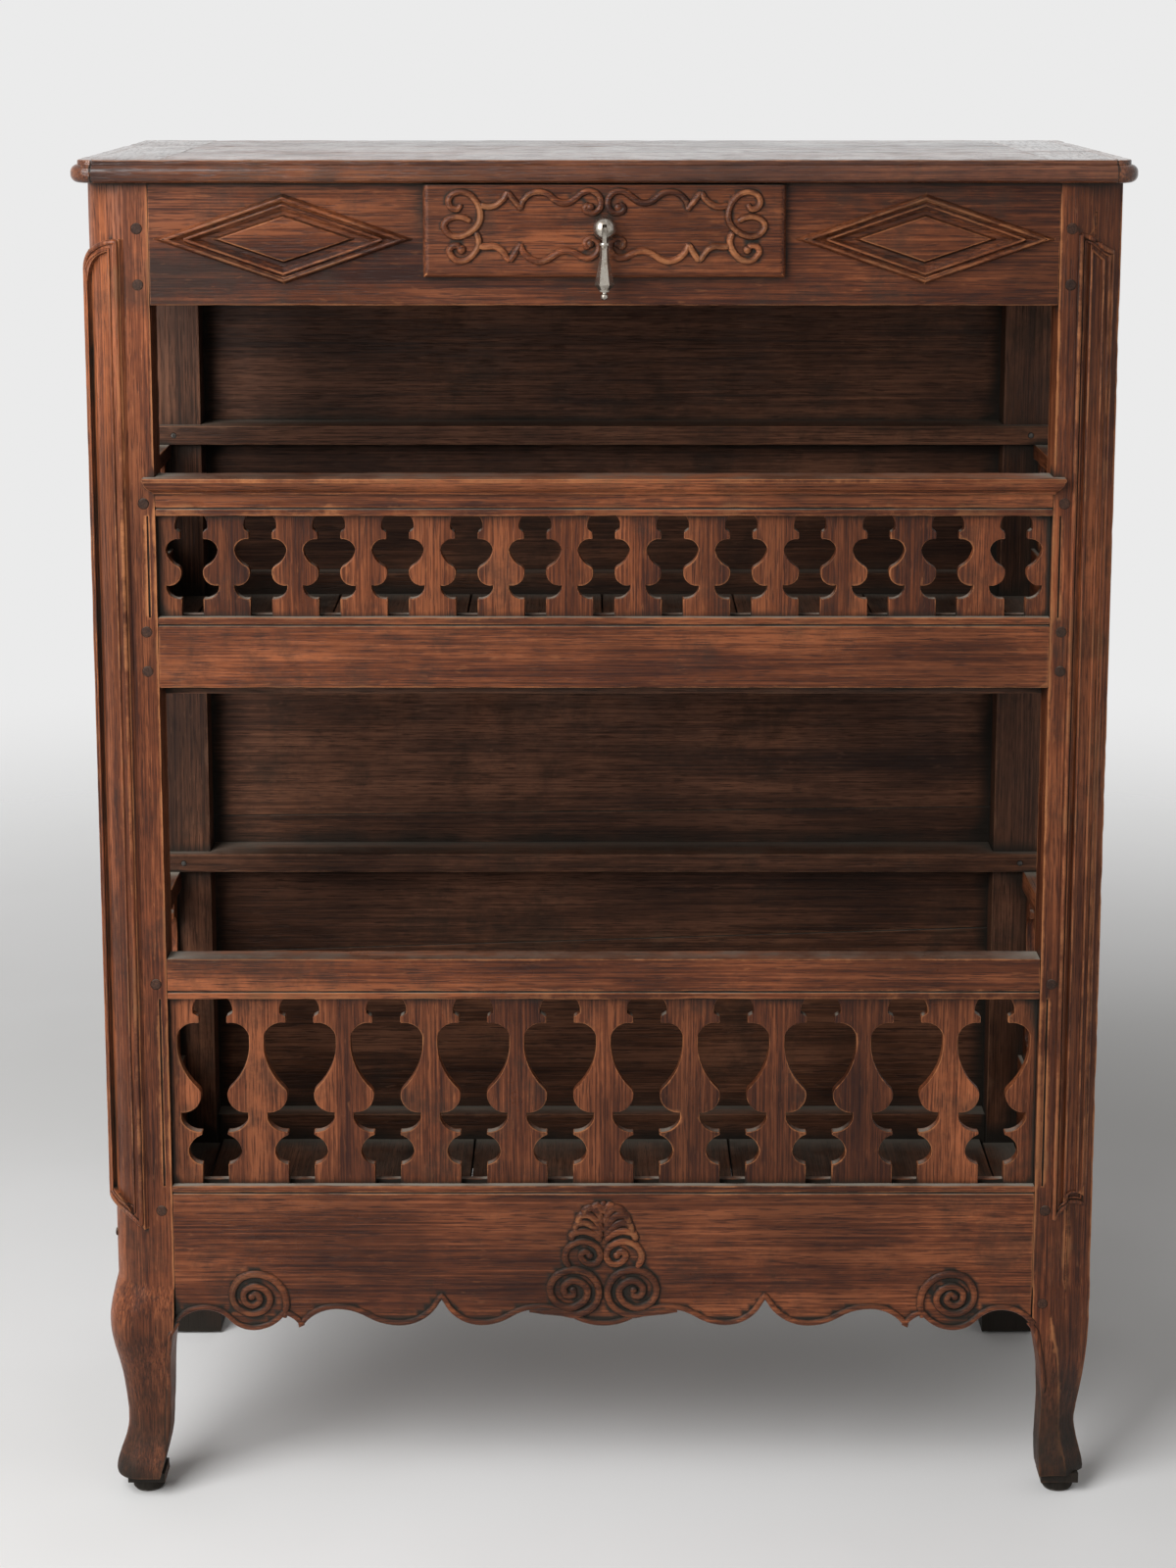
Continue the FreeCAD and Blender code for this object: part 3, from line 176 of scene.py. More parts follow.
# %% [markdown]
# ## Oak figure
# Oak shows three things at once: broad soft bands from the growth rings, fine dark pores that run
# with the grain, and small bright flecks where the saw met the rays. Each is noise that is drawn
# out along the board by a different amount. They read a "board" attribute, which holds every
# point's place along, across and through its own board, so that no two boards share a pattern.

# %% Oak figure group
def make_oak_figure():
    tree = bpy.data.node_groups.new("oak_figure", "ShaderNodeTree")
    given, out = group_sockets(
        tree,
        {"Board": (VECTOR, None), "Fleck": (FLOAT, 0.22)},
        {"Figure": FLOAT, "Pores": FLOAT, "Flecks": FLOAT, "Height": FLOAT},
    )
    board = given.outputs["Board"]
    bands = stretched_noise(tree, board, (2.2, 26, 26), 5, 0.6, 0.4)
    streaks = stretched_noise(tree, board, (6, 480, 480), 4, 0.62)
    clouds = stretched_noise(tree, board, (46, 150, 150), 4, 0.62)
    figure = weighted(tree, (bands, 0.48), (streaks, 0.40), (clouds, 0.12))
    pores = fade(tree, stretched_noise(tree, board, (40, 900, 900), 1, 0.5), 0.56, 0.66)
    ray = fade(tree, stretched_noise(tree, board, (60, 330, 330), 2, 0.5, 0.3), 0.62, 0.76)
    flecks = calc(tree, "MULTIPLY", ray, given.outputs["Fleck"])
    height = calc(tree, "SUBTRACT", calc(tree, "MULTIPLY", streaks, 0.6), pores)
    for name, value in (("Figure", figure), ("Pores", pores), ("Flecks", flecks), ("Height", height)):
        tree.links.new(value, out.inputs[name])
    return tree


oak_figure = make_oak_figure()
print("group:", oak_figure.name)

# %% [markdown]
# ## Age
# Hands and cloths rub the wax and the dark stain off every sharp edge, and push dirt into every
# corner. The corners are darkened further with painted shade where the neighbours hide the light.
# The edge wear and the shelter of corners are measured on the mesh later and kept as attributes.
# This group breaks both up with noise, so that wear comes in patches and grime and painted shade
# in smears, and lays dust on whatever faces up.

# %% Age group
def make_age():
    tree = bpy.data.node_groups.new("age", "ShaderNodeTree")
    given, out = group_sockets(
        tree,
        {
            "Wood": (COLOUR, None), "Worn Wood": (COLOUR, None), "Grime And Shade": (COLOUR, None),
            "Dust": (COLOUR, None), "Place": (VECTOR, None), "Wear Share": (FLOAT, 1.0),
            "Dust Share": (FLOAT, 0.5),
        },
        {"Colour": COLOUR, "Worn": FLOAT, "Grimy And Shaded": FLOAT},
    )

    def swayed(name, pattern, amount):
        """A measured value that a noise pattern pushes up and down."""
        sway = calc(tree, "MULTIPLY", calc(tree, "SUBTRACT", pattern, 0.5), amount)
        return calc(tree, "ADD", kept(tree, name), sway)

    place = given.outputs["Place"]
    patches = stretched_noise(tree, place, (24, 24, 24), 6, 0.7)
    smears = stretched_noise(tree, place, (16, 16, 16), 5, 0.6)
    blotches = stretched_noise(tree, place, (5, 5, 5), 3, 0.5)
    rub = swayed("wear", patches, 1.6)
    worn = calc(tree, "MULTIPLY", fade(tree, rub, 0.45, 0.95), given.outputs["Wear Share"])
    cloudy = weighted(tree, (blotches, 0.45), (patches, 0.55))
    film = calc(tree, "MULTIPLY", fade(tree, cloudy, 0.49, 0.63), 0.5)
    # grime and painted shade: darker where the neighbours hide the sky
    dirt_and_shade = fade(tree, swayed("grime_and_shade", smears, 0.55), 0.12, 0.54)
    grimy_and_shaded = calc(tree, "MAXIMUM", dirt_and_shade, film)
    lying = fade(tree, swayed("dust", patches, 0.5), 0.25, 0.9)
    dusty = calc(tree, "MULTIPLY", lying, given.outputs["Dust Share"], True)
    mottled = brighter(tree, given.outputs["Wood"], fade(tree, blotches, 0.34, 0.66, 0.62, 1.3))
    colour = blend(tree, worn, mottled, given.outputs["Worn Wood"])
    colour = blend(tree, grimy_and_shaded, colour, given.outputs["Grime And Shade"])
    colour = blend(tree, dusty, colour, given.outputs["Dust"])
    for name, value in (("Colour", colour), ("Worn", worn), ("Grimy And Shaded", grimy_and_shaded)):
        tree.links.new(value, out.inputs[name])
    return tree


age = make_age()
print("group:", age.name)

# %% [markdown]
# ## The oak finishes
# One recipe serves all the wood. The case is stained a dark red brown and waxed, the top is rubbed
# to a shine, the boards inside were never polished, and the pegs show dark end grain. Only the
# palette, the gloss and the amounts of wear change, so each finish is one call.

# %% Oak materials
# colour of grime and of the painted shade in corners
GRIME_AND_SHADE = (0.016, 0.0125, 0.009, 1)
DUST = (0.36, 0.325, 0.27, 1)


def oak(name, dark, middle, light, worn, gloss, wear=1.0, dust=0.75, shine=0.2):
    """A waxed oak finish; the colours are linear and gloss is the lowest and highest roughness."""
    made = bpy.data.materials.new(name)
    made.use_nodes = True
    tree = made.node_tree
    shader = tree.nodes["Principled BSDF"]
    place = put(tree, "ShaderNodeTexCoord").outputs["Object"]
    figure = put(tree, "ShaderNodeGroup", {"Board": kept(tree, "board", "Vector")}, node_tree=oak_figure)
    ramp = put(tree, "ShaderNodeValToRGB", {"Fac": figure.outputs["Figure"]})
    stops = ramp.color_ramp.elements
    stops[0].position, stops[0].color = 0.40, (*dark, 1)
    stops[1].position, stops[1].color = 0.58, (*light, 1)
    stops.new(0.5).color = (*middle, 1)
    pores = figure.outputs["Pores"]
    wood = blend(tree, calc(tree, "MULTIPLY", pores, 0.7), ramp.outputs["Color"], (*dark, 1))
    wood = blend(tree, figure.outputs["Flecks"], wood, (*worn, 1))
    # the tone attribute lightens or darkens each board: its own random tone, plus painted light and shade
    # fixed per kind of piece
    aged = put(tree, "ShaderNodeGroup", {
        "Wood": brighter(tree, wood, fade(tree, kept(tree, "tone"), -1.0, 1.0, 0.72, 1.3)),
        "Worn Wood": brighter(tree, worn, fade(tree, figure.outputs["Figure"], 0.3, 0.7, 0.7, 1.25)),
        "Grime And Shade": GRIME_AND_SHADE, "Dust": DUST, "Place": place, "Wear Share": wear, "Dust Share": dust,
    }, node_tree=age)
    tree.links.new(aged.outputs["Colour"], shader.inputs["Base Color"])
    polish = fade(tree, stretched_noise(tree, place, (9, 9, 9), 4, 0.6), 0.3, 0.7, gloss[0], gloss[1])
    dull = weighted(tree, (aged.outputs["Grimy And Shaded"], 0.22), (pores, 0.12))
    tree.links.new(calc(tree, "ADD", polish, dull, True), shader.inputs["Roughness"])
    relief = {"Strength": 0.4, "Distance": 0.0007, "Height": figure.outputs["Height"]}
    bump = put(tree, "ShaderNodeBump", relief)
    tree.links.new(bump.outputs["Normal"], shader.inputs["Normal"])
    shader.inputs["Specular IOR Level"].default_value = shine
    return made


FINISH = {
    "case_wood": oak(
        "waxed_case_oak", dark=(0.030, 0.0080, 0.0040), middle=(0.111, 0.0312, 0.0116),
        light=(0.222, 0.069, 0.0268), worn=(0.37, 0.142, 0.055), gloss=(0.26, 0.46)),
    "top_wood": oak(
        "polished_top_oak", dark=(0.042, 0.0120, 0.0055), middle=(0.112, 0.034, 0.0135),
        light=(0.195, 0.067, 0.026), worn=(0.33, 0.13, 0.052), gloss=(0.06, 0.15),
        wear=0.9, dust=0.1, shine=0.4),
    "inner_wood": oak(
        "dry_inner_oak", dark=(0.024, 0.0095, 0.0050), middle=(0.076, 0.0305, 0.0155),
        light=(0.145, 0.060, 0.032), worn=(0.22, 0.105, 0.058), gloss=(0.42, 0.62), wear=0.7, dust=0.3),
    "peg_wood": oak(
        "dark_peg_oak", dark=(0.018, 0.009, 0.006), middle=(0.036, 0.016, 0.010),
        light=(0.066, 0.029, 0.017), worn=(0.11, 0.052, 0.03), gloss=(0.45, 0.6), wear=0.4),
}
print("oak finishes:", ", ".join(FINISH))

# %% [markdown]
# ## Metal
# The pull is nickelled brass that has gone grey: bright in some patches and dull and brown in others,
# by a pattern of noise. The glides under the feet and the nail heads are plain iron.

# %% Metal materials
def old_metal(name, bright, dull, gloss, metal):
    """A rubbed metal; gloss is the lowest and highest roughness."""
    made = bpy.data.materials.new(name)
    made.use_nodes = True
    tree = made.node_tree
    shader = tree.nodes["Principled BSDF"]
    place = put(tree, "ShaderNodeTexCoord").outputs["Object"]
    film = stretched_noise(tree, place, (160, 160, 160), 5, 0.65)
    scratches = stretched_noise(tree, place, (900, 900, 140), 2, 0.6)
    tarnish = fade(tree, weighted(tree, (film, 0.75), (scratches, 0.25)), 0.42, 0.66)
    tree.links.new(blend(tree, tarnish, (*bright, 1), (*dull, 1)), shader.inputs["Base Color"])
    tree.links.new(fade(tree, film, 0.35, 0.7, *gloss), shader.inputs["Roughness"])
    shader.inputs["Metallic"].default_value = metal
    bump = put(tree, "ShaderNodeBump", {"Strength": 0.15, "Distance": 0.0003, "Height": scratches})
    tree.links.new(bump.outputs["Normal"], shader.inputs["Normal"])
    return made


FINISH["pull_metal"] = old_metal(
    "greyed_nickel", bright=(0.42, 0.385, 0.335), dull=(0.17, 0.14, 0.11), gloss=(0.22, 0.44), metal=1.0)
FINISH["iron"] = old_metal(
    "worn_iron", bright=(0.12, 0.11, 0.10), dull=(0.035, 0.029, 0.025), gloss=(0.4, 0.65), metal=0.9)
print("metal finishes: greyed_nickel, worn_iron")

# %% [markdown]
# ## Which way each board runs
# A joiner always lays the grain along the length of a piece: posts and balusters upright, rails and
# back boards across, floors from front to back. The table says the grain's direction and the finish
# of every piece by the start of its name; the more telling name comes first.

# %% Grain and finish of every piece
BOARDS = (
    ("front_post", "z", "case_wood"), ("rear_post", "z", "inner_wood"),
    ("balusters", "z", "case_wood"), ("top_rail_front", "x", "case_wood"),
    ("gallery_rail", "x", "case_wood"), ("bottom_rail", "x", "case_wood"),
    ("apron_front", "x", "case_wood"), ("ledge_moulding", "x", "case_wood"),
    ("drawer_front", "x", "case_wood"), ("side_", "y", "case_wood"),
    ("top_board", "x", "top_wood"), ("top_end", "y", "top_wood"),
    ("top_moulding_front", "x", "top_wood"), ("top_moulding", "y", "top_wood"),
    ("back_board", "x", "inner_wood"), ("rear_", "x", "inner_wood"),
    ("floor_boards", "y", "inner_wood"), ("floor_cleats", "x", "inner_wood"),
    ("drawer_side", "y", "inner_wood"), ("drawer_runner", "y", "inner_wood"),
    ("drawer_", "x", "inner_wood"), ("joint_pegs", "y", "peg_wood"), ("foot_pads", "z", "peg_wood"),
)
METAL = {"pull_": "pull_metal", "ledge_nails": "iron", "foot_glides": "iron"}


def row_for(node):
    """A wooden piece's row in the table."""
    return next(row for row in BOARDS if node.startswith(row[0]))


def metal_for(node):
    """A metal piece's finish, or None for wood."""
    return next((slot for start, slot in METAL.items() if node.startswith(start)), None)


wooden = [node for node in sorted(frame["nodes"]) if not metal_for(node)]
print("wooden pieces:", len(wooden))

# %% [markdown]
# ## A bead that follows a line
# All the carving here is one kind: a round ridge, about six millimetres wide, left standing while
# the ground around it is cut away. Sweeping a round section along a line makes it, and Geometry
# Nodes do that for any line they are given. Each point of the line carries a "girth", so a ridge can
# taper, and an "eye" where a scroll ends in a small ball.

# %% Carved bead tree
def make_carved_bead():
    tree = bpy.data.node_groups.new("carved_bead", "GeometryNodeTree")
    given, out = group_sockets(
        tree,
        {
            "Line": ("NodeSocketGeometry", None), "Bead Radius": (FLOAT, 0.003), "Step": (FLOAT, 0.0015),
            "Flatness": (FLOAT, 0.8), "Face Y": (FLOAT, 0.0), "Finish": ("NodeSocketMaterial", None),
        },
        {"Bead": "NodeSocketGeometry"},
    )

    radius, face_y = given.outputs["Bead Radius"], given.outputs["Face Y"]

    def size_from(name):
        """The bead's radius times an attribute of the line."""
        held = put(tree, "GeometryNodeInputNamedAttribute", {"Name": name}, data_type="FLOAT")
        return held.outputs["Attribute"], calc(tree, "MULTIPLY", held.outputs["Attribute"], radius)

    _, thickness = size_from("girth")
    eye, eye_size = size_from("eye")
    line = put(tree, "GeometryNodeMeshToCurve", {"Mesh": given.outputs["Line"]}).outputs["Curve"]
    spacing = given.outputs["Step"]
    even = put(tree, "GeometryNodeResampleCurve", {"Curve": line, "Length": spacing}, mode="LENGTH")
    ring = put(tree, "GeometryNodeCurvePrimitiveCircle", {"Resolution": 10, "Radius": 1.0})
    swept = put(tree, "GeometryNodeCurveToMesh", {
        "Curve": even.outputs["Curve"], "Profile Curve": ring.outputs["Curve"],
        "Scale": thickness, "Fill Caps": True,
    })
    ball = put(tree, "GeometryNodeMeshIcoSphere", {"Radius": 1.0, "Subdivisions": 3})
    has_eye = put(tree, "FunctionNodeCompare", {0: eye, 1: 0.1}, data_type="FLOAT", operation="GREATER_THAN")
    eyes = put(tree, "GeometryNodeInstanceOnPoints", {
        "Points": given.outputs["Line"], "Selection": has_eye.outputs["Result"],
        "Instance": ball.outputs["Mesh"], "Scale": eye_size,
    })
    joined = put(tree, "GeometryNodeJoinGeometry")
    tree.links.new(swept.outputs["Mesh"], joined.inputs[0])
    tree.links.new(eyes.outputs["Instances"], joined.inputs[0])
    solid = put(tree, "GeometryNodeRealizeInstances", {"Geometry": joined.outputs["Geometry"]})
    where = put(tree, "ShaderNodeSeparateXYZ", {0: put(tree, "GeometryNodeInputPosition").outputs[0]})
    proud = calc(tree, "SUBTRACT", where.outputs["Y"], face_y)
    level = calc(tree, "ADD", calc(tree, "MULTIPLY", proud, given.outputs["Flatness"]), face_y)
    flat = put(tree, "ShaderNodeCombineXYZ", {"X": where.outputs["X"], "Y": level, "Z": where.outputs["Z"]})
    pressed = put(tree, "GeometryNodeSetPosition", {
        "Geometry": solid.outputs["Geometry"], "Position": flat.outputs[0],
    })
    smooth = put(tree, "GeometryNodeSetShadeSmooth", {"Geometry": pressed.outputs["Geometry"]})
    done = put(tree, "GeometryNodeSetMaterial", {
        "Geometry": smooth.outputs["Geometry"], "Material": given.outputs["Finish"],
    })
    tree.links.new(done.outputs["Geometry"], out.inputs["Bead"])
    return tree


carved_bead = make_carved_bead()
print("tree:", carved_bead.name, len(carved_bead.nodes), "nodes")

# %% [markdown]
# ## Lines to carve along
# A carver draws with few points and a steady hand. `flowing` passes a smooth line through such
# points, and `run_bead` turns finished lines into one mesh through the tree above.

# %% Line helpers
BEAD_STEP = 0.0016  # distance between the rings of a bead
TAPER_RATE = 8  # a bead reaches full girth within an eighth of its length, or sooner


def flowing(points, step=0.002):
    """A smooth line through a few points (Catmull-Rom)."""
    rows = [Vector(p) for p in points]
    rows = [rows[0] * 2 - rows[1], *rows, rows[-1] * 2 - rows[-2]]
    line = []
    for a, b, c, d in zip(rows, rows[1:], rows[2:], rows[3:]):
        count = max(2, int((c - b).length / step))
        for k in range(count):
            s = k / count
            line.append(0.5 * (2 * b + (c - a) * s + (2 * a - 5 * b + 4 * c - d) * s * s
                               + (3 * b - a - 3 * c + d) * s ** 3))
    return line + [rows[-2]]


def run_bead(name, lines, radius, face_y, flatness=0.8):
    """Sweep the bead along lines of (points, girth, share of it at each end, eye) as one plain mesh."""
    mesh = bpy.data.meshes.new(name + "_line")
    points, edges, girths, eyes = [], [], [], []
    for line, girth, first, last, eye in lines:
        start = len(points)
        points += [tuple(p) for p in line]
        edges += [(k, k + 1) for k in range(start, len(points) - 1)]
        shares = np.linspace(0, 1, len(line))
        rising, falling = first + shares * TAPER_RATE, last + (1 - shares) * TAPER_RATE
        girths += list(girth * np.minimum(1, np.minimum(rising, falling)))
        eyes += [0] * (len(line) - 1) + [eye]
    mesh.from_pydata(points, edges, [])
    for key, values in (("girth", girths), ("eye", eyes)):
        mesh.attributes.new(key, "FLOAT", "POINT").data.foreach_set("value", values)
    drawn = bpy.data.objects.new(name + "_line", mesh)
    scene.collection.objects.link(drawn)
    sweep = drawn.modifiers.new("sweep", "NODES")
    sweep.node_group = carved_bead
    settings = {
        "Bead Radius": radius, "Step": BEAD_STEP, "Flatness": flatness, "Face Y": face_y,
        "Finish": FINISH["case_wood"],
    }
    for item in carved_bead.interface.items_tree:
        if item.name in settings:
            sweep[item.identifier] = settings[item.name]
    ready = drawn.evaluated_get(bpy.context.evaluated_depsgraph_get())
    bead = bpy.data.objects.new(name, bpy.data.meshes.new_from_object(ready))
    bpy.data.objects.remove(drawn)
    scene.collection.objects.link(bead)
    return bead


def on_face(points, y):
    """Points drawn in millimetres, put on an upright face."""
    return [Vector((x * MM, y, z * MM)) for x, z in points]


def both_hands(points):
    """The line and its mirror image about the middle of the front."""
    return [points, [(-x, z) for x, z in points]]


print("line helpers ready")

# %% [markdown]
# ## Carving on the drawer
# The drawer front carries a running line of scrolls. It rises and falls along the top and bottom in
# waves that meet in sharp cusps, curls up beside the pull, and closes at each end in two curls with
# a loop between them. Only the left half is drawn here, in millimetres, and the right half mirrors it.

# %% Drawer scrollwork
DRAWER_LINES = {
    "end_curl": ((-124.6, 1212.1), (-127.0, 1207.6), (-133.0, 1208.9), (-135.3, 1214.8), (-132.2, 1220.3),
                 (-125.6, 1222.8), (-118.2, 1221.1), (-112.7, 1216.3), (-108.8, 1210.0), (-107.4, 1202.1),
                 (-108.8, 1195.7), (-113.0, 1190.2), (-119.3, 1186.0), (-127.2, 1183.9), (-134.6, 1185.7),
                 (-139.4, 1192.0), (-137.5, 1197.3), (-130.9, 1200.8), (-123.5, 1200.8), (-116.1, 1197.3)),
    "low_curl": ((-111.4, 1187.8), (-109.1, 1180.9), (-110.1, 1174.6), (-114.0, 1168.4), (-119.8, 1163.8),
                 (-127.2, 1162.9), (-132.7, 1166.9), (-134.8, 1171.4), (-132.5, 1175.4), (-127.4, 1176.1),
                 (-124.2, 1172.6)),
    "top_rise": ((-108.2, 1211.4), (-101.9, 1209.8), (-95.6, 1210.5), (-90.1, 1213.9), (-86.3, 1218.1),
                 (-84.0, 1222.8)),
    "top_fall": ((-84.0, 1222.8), (-79.6, 1216.9), (-75.4, 1211.8), (-71.6, 1207.1)),
    "top_wave": ((-72.2, 1207.9), (-71.4, 1213.7), (-67.1, 1219.0), (-61.4, 1222.2), (-55.0, 1222.6),
                 (-49.0, 1220.7), (-42.9, 1215.8), (-36.6, 1213.1), (-30.1, 1213.9), (-24.2, 1217.9),
                 (-18.7, 1222.0), (-12.2, 1223.6), (-5.5, 1220.3), (-2.9, 1214.2), (-4.2, 1207.9),
                 (-8.7, 1204.4), (-14.5, 1205.4), (-17.1, 1208.4), (-14.5, 1211.1), (-12.2, 1209.3)),
    "low_fall": ((-109.8, 1175.8), (-103.5, 1175.0), (-97.2, 1175.6), (-92.2, 1174.3), (-88.0, 1170.5),
                 (-85.1, 1166.1), (-82.4, 1162.7)),
    "low_rise": ((-82.4, 1162.7), (-77.7, 1169.5), (-72.9, 1177.7)),
    "low_wave": ((-72.9, 1177.7), (-71.4, 1172.2), (-67.1, 1166.9), (-61.7, 1163.5), (-55.3, 1162.3),
                 (-49.0, 1164.2), (-42.9, 1168.2), (-36.6, 1171.2), (-30.1, 1171.4), (-24.0, 1169.1),
                 (-18.5, 1166.1), (-12.9, 1165.5), (-7.9, 1168.0), (-4.8, 1173.5), (-6.1, 1179.8),
                 (-11.8, 1182.8), (-16.8, 1179.3), (-15.0, 1174.6), (-12.2, 1177.7)),
}
EYES = {"top_wave": 1.25, "low_wave": 1.25, "low_curl": 1.3}
drawer_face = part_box("drawer_front")[0].y
lines = []
for name, points in DRAWER_LINES.items():
    for half in both_hands(points):
        lines.append((flowing(on_face(half, drawer_face)), 1, 0.75, 0.75, EYES.get(name, 0)))
scrollwork = run_bead("drawer_scrollwork", lines, 3.3 * MM, drawer_face, 0.9)
carvings = [(scrollwork, "drawer", "drawer_front")]
print("drawer scrollwork:", len(lines), "lines")

# %% [markdown]
# ## Carving on the apron
# A bead runs along the whole scalloped edge. Because the frame already has that edge, the line is
# read from the apron itself: every edge where its front face meets the sawn underside, put in order
# from left to right and moved a little way into the face. Beside the legs sits a volute each, and in
# the middle two pairs of volutes carry a palmette of curved lobes.

# %% Apron edge bead, volutes and palmette
def lower_edge(node, top):
    """Points of a board's lower front edge, from left to right, below a level."""
    bm = bmesh.new()
    bm.from_mesh(frame["nodes"][node].data)
    bmesh.ops.remove_doubles(bm, verts=bm.verts, dist=SAME_POINT)
    linked = {}
    for edge in bm.edges:
        faces = [f.normal for f in edge.link_faces]
        front = any(n.y < -0.9 for n in faces)
        sawn = any(abs(n.y) < 0.3 for n in faces)
        level = max(v.co.z for v in edge.verts) < top
        if front and sawn and level and max(v.co.y for v in edge.verts) < apron_face + MM:
            a, b = edge.verts
            linked.setdefault(a, []).append(b)
            linked.setdefault(b, []).append(a)
    here = min((v for v in linked if len(linked[v]) == 1), key=lambda v: v.co.x)
    chain, seen = [], set()
    while here is not None:
        chain.append(here.co.copy())
        seen.add(here)
        here = next((v for v in linked[here] if v not in seen), None)
    bm.free()
    return chain


def moved_in(chain, distance):
    """The chain moved into the face, square to its own direction."""
    line = []
    for k, point in enumerate(chain):
        along = chain[min(k + 1, len(chain) - 1)] - chain[max(k - 1, 0)]
        side = Vector((-along.z, 0, along.x)).normalized()
        line.append(point + side * distance)
    return line


SCALLOP_TOP = 0.202  # the whole sawn edge lies below this level

apron_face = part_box("apron_front")[0].y
edge = lower_edge("apron_front", SCALLOP_TOP)
lines = [(moved_in(edge, 2.6 * MM), 0.9, 1, 1, 0)]
VOLUTE = (
    (-296.6, 180.5), (-295.4, 187.0), (-294.3, 195.7), (-297.9, 208.6), (-308.3, 219.3), (-323.3, 223.2),
    (-337.2, 218.2), (-344.3, 204.3), (-340.5, 191.4), (-327.6, 184.5), (-314.7, 188.2), (-309.3, 197.9),
    (-313.6, 207.5), (-324.4, 211.4), (-333.6, 205.4), (-332.3, 195.7), (-325.0, 192.5), (-318.6, 197.9),
    (-322.2, 204.3), (-326.5, 201.1),
)
LOW_SCROLL = (
    (-68.7, 187.9), (-53.6, 187.2), (-38.5, 185.6), (-24.6, 183.7), (-10.7, 190.2), (-4.2, 201.8),
    (-5.6, 213.4), (-14.2, 223.9), (-29.2, 227.4), (-43.2, 221.6), (-49.4, 208.8), (-44.3, 196.0),
    (-30.4, 190.2), (-17.6, 197.2), (-14.6, 207.6), (-20.0, 214.6), (-29.2, 216.9), (-36.7, 210.6),
    (-34.4, 202.3), (-27.4, 203.0), (-28.1, 207.6),
)
HIGH_SCROLL = (
    (-31.1, 229.2), (-35.7, 240.1), (-31.1, 250.6), (-18.8, 255.7), (-6.5, 250.6), (-2.6, 241.3),
    (-7.2, 233.9), (-15.3, 234.3), (-21.1, 241.3), (-16.5, 245.9), (-12.5, 241.7),
)
for points, girth in ((VOLUTE, 1.2), (LOW_SCROLL, 1.25), (HIGH_SCROLL, 1.15)):
    for half in both_hands(points):
        lines.append((flowing(on_face(half, apron_face)), girth, 0.6, 0.75, 1.2))
LOBES = (
    ((1.4, 255.7), (7.9, 262.2), (18.3, 265.6), (27.6, 263.3), (29.5, 259.4)),
    ((0.9, 259.4), (7.9, 269.1), (17.2, 273.8), (24.6, 271.9), (26.0, 266.8)),
    ((0.5, 264.5), (6.7, 276.1), (13.7, 281.2), (20.7, 280.7), (23.2, 275.6)),
    ((0.2, 272.6), (4.4, 283.1), (10.2, 288.2), (16.0, 286.5), (17.6, 283.1)),
    ((0.0, 281.9), (2.1, 287.7), (5.6, 290.5), (8.6, 288.9)),
)
for points in LOBES:
    for half in both_hands(points):
        lines.append((flowing(on_face(half, apron_face)), 1.25, 0.35, 0.95, 1.2))
lines.append((flowing(on_face(((0, 283), (0, 288), (0, 291.5)), apron_face)), 1.2, 0.5, 0.8, 1.1))
carvings.append((run_bead("apron_carving", lines, 3.2 * MM, apron_face), "carcass", "apron_front"))
print("apron carving:", len(lines), "lines, edge of", len(edge), "points")

# %% [markdown]
# ## The bead goes down the legs
# On the real case the edge bead does not stop at the apron: it turns down the inner front edge of
# each cabriole leg as far as the foot. Two rays find that edge at every level, one from the middle of
# the dresser out to the leg, and one from the front back to it.

# %% Leg beads
def tree_of(meshes):
    """One search tree over several meshes."""
    points, faces = [], []
    for mesh in meshes:
        start = len(points)
        points += [v.co for v in mesh.vertices]
        faces += [[start + k for k in p.vertices] for p in mesh.polygons]
    return BVHTree.FromPolygons(points, faces)


LEG_LEVELS = range(166, 45, -8)  # from the knee to the foot, in mm
LEG_INSET = 2.4 * MM  # from the leg's inner face to the middle of the bead
LEG_SINK = 0.4 * MM  # how deep the middle of the bead lies

leg_points = {}
for hand, sign in (("left", -1), ("right", 1)):
    leg = tree_of([frame["nodes"]["front_post_" + hand].data])
    line = [edge[0 if sign < 0 else -1] + Vector((-sign * 2, 0, 3)) * MM]
    for level in LEG_LEVELS:
        inner = leg.ray_cast(Vector((0, apron_face + 0.006, level * MM)), Vector((sign, 0, 0)))[0]
        if inner is None:
            continue
        x = inner.x + sign * LEG_INSET
        front = leg.ray_cast(Vector((x, -1, level * MM)), Vector((0, 1, 0)))[0]
        if front is not None:
            line.append(Vector((x, front.y + LEG_SINK, level * MM)))
    leg_points[hand] = len(line)
    bead = run_bead("leg_bead_" + hand, [(flowing(line), 1, 1, 0.3, 0)], 2.6 * MM, 0, 1)
    carvings.append((bead, "carcass", "front_post_" + hand))
print("leg beads, points:", leg_points)

# %% [markdown]
# ## Fine beads on the raised frames
# The two diamonds on the top rail and the long frames on the posts were run with a small moulding
# plane. A thin bead along each rim gives the light a round edge to catch. The corners of a diamond
# are the outermost points of its raised rim. The left post's frame bends round a corner and the right
# one's lies on a cant, so rays that come in square to the corner find the points of their lines.

# %% Diamond beads
def straight(corners, step=0.003):
    """A closed line with sharp corners."""
    line = []
    for a, b in zip(corners, corners[1:] + corners[:1]):
        count = max(1, int((b - a).length / step))
        line += [a.lerp(b, k / count) for k in range(count)]
    return line + [corners[0]]


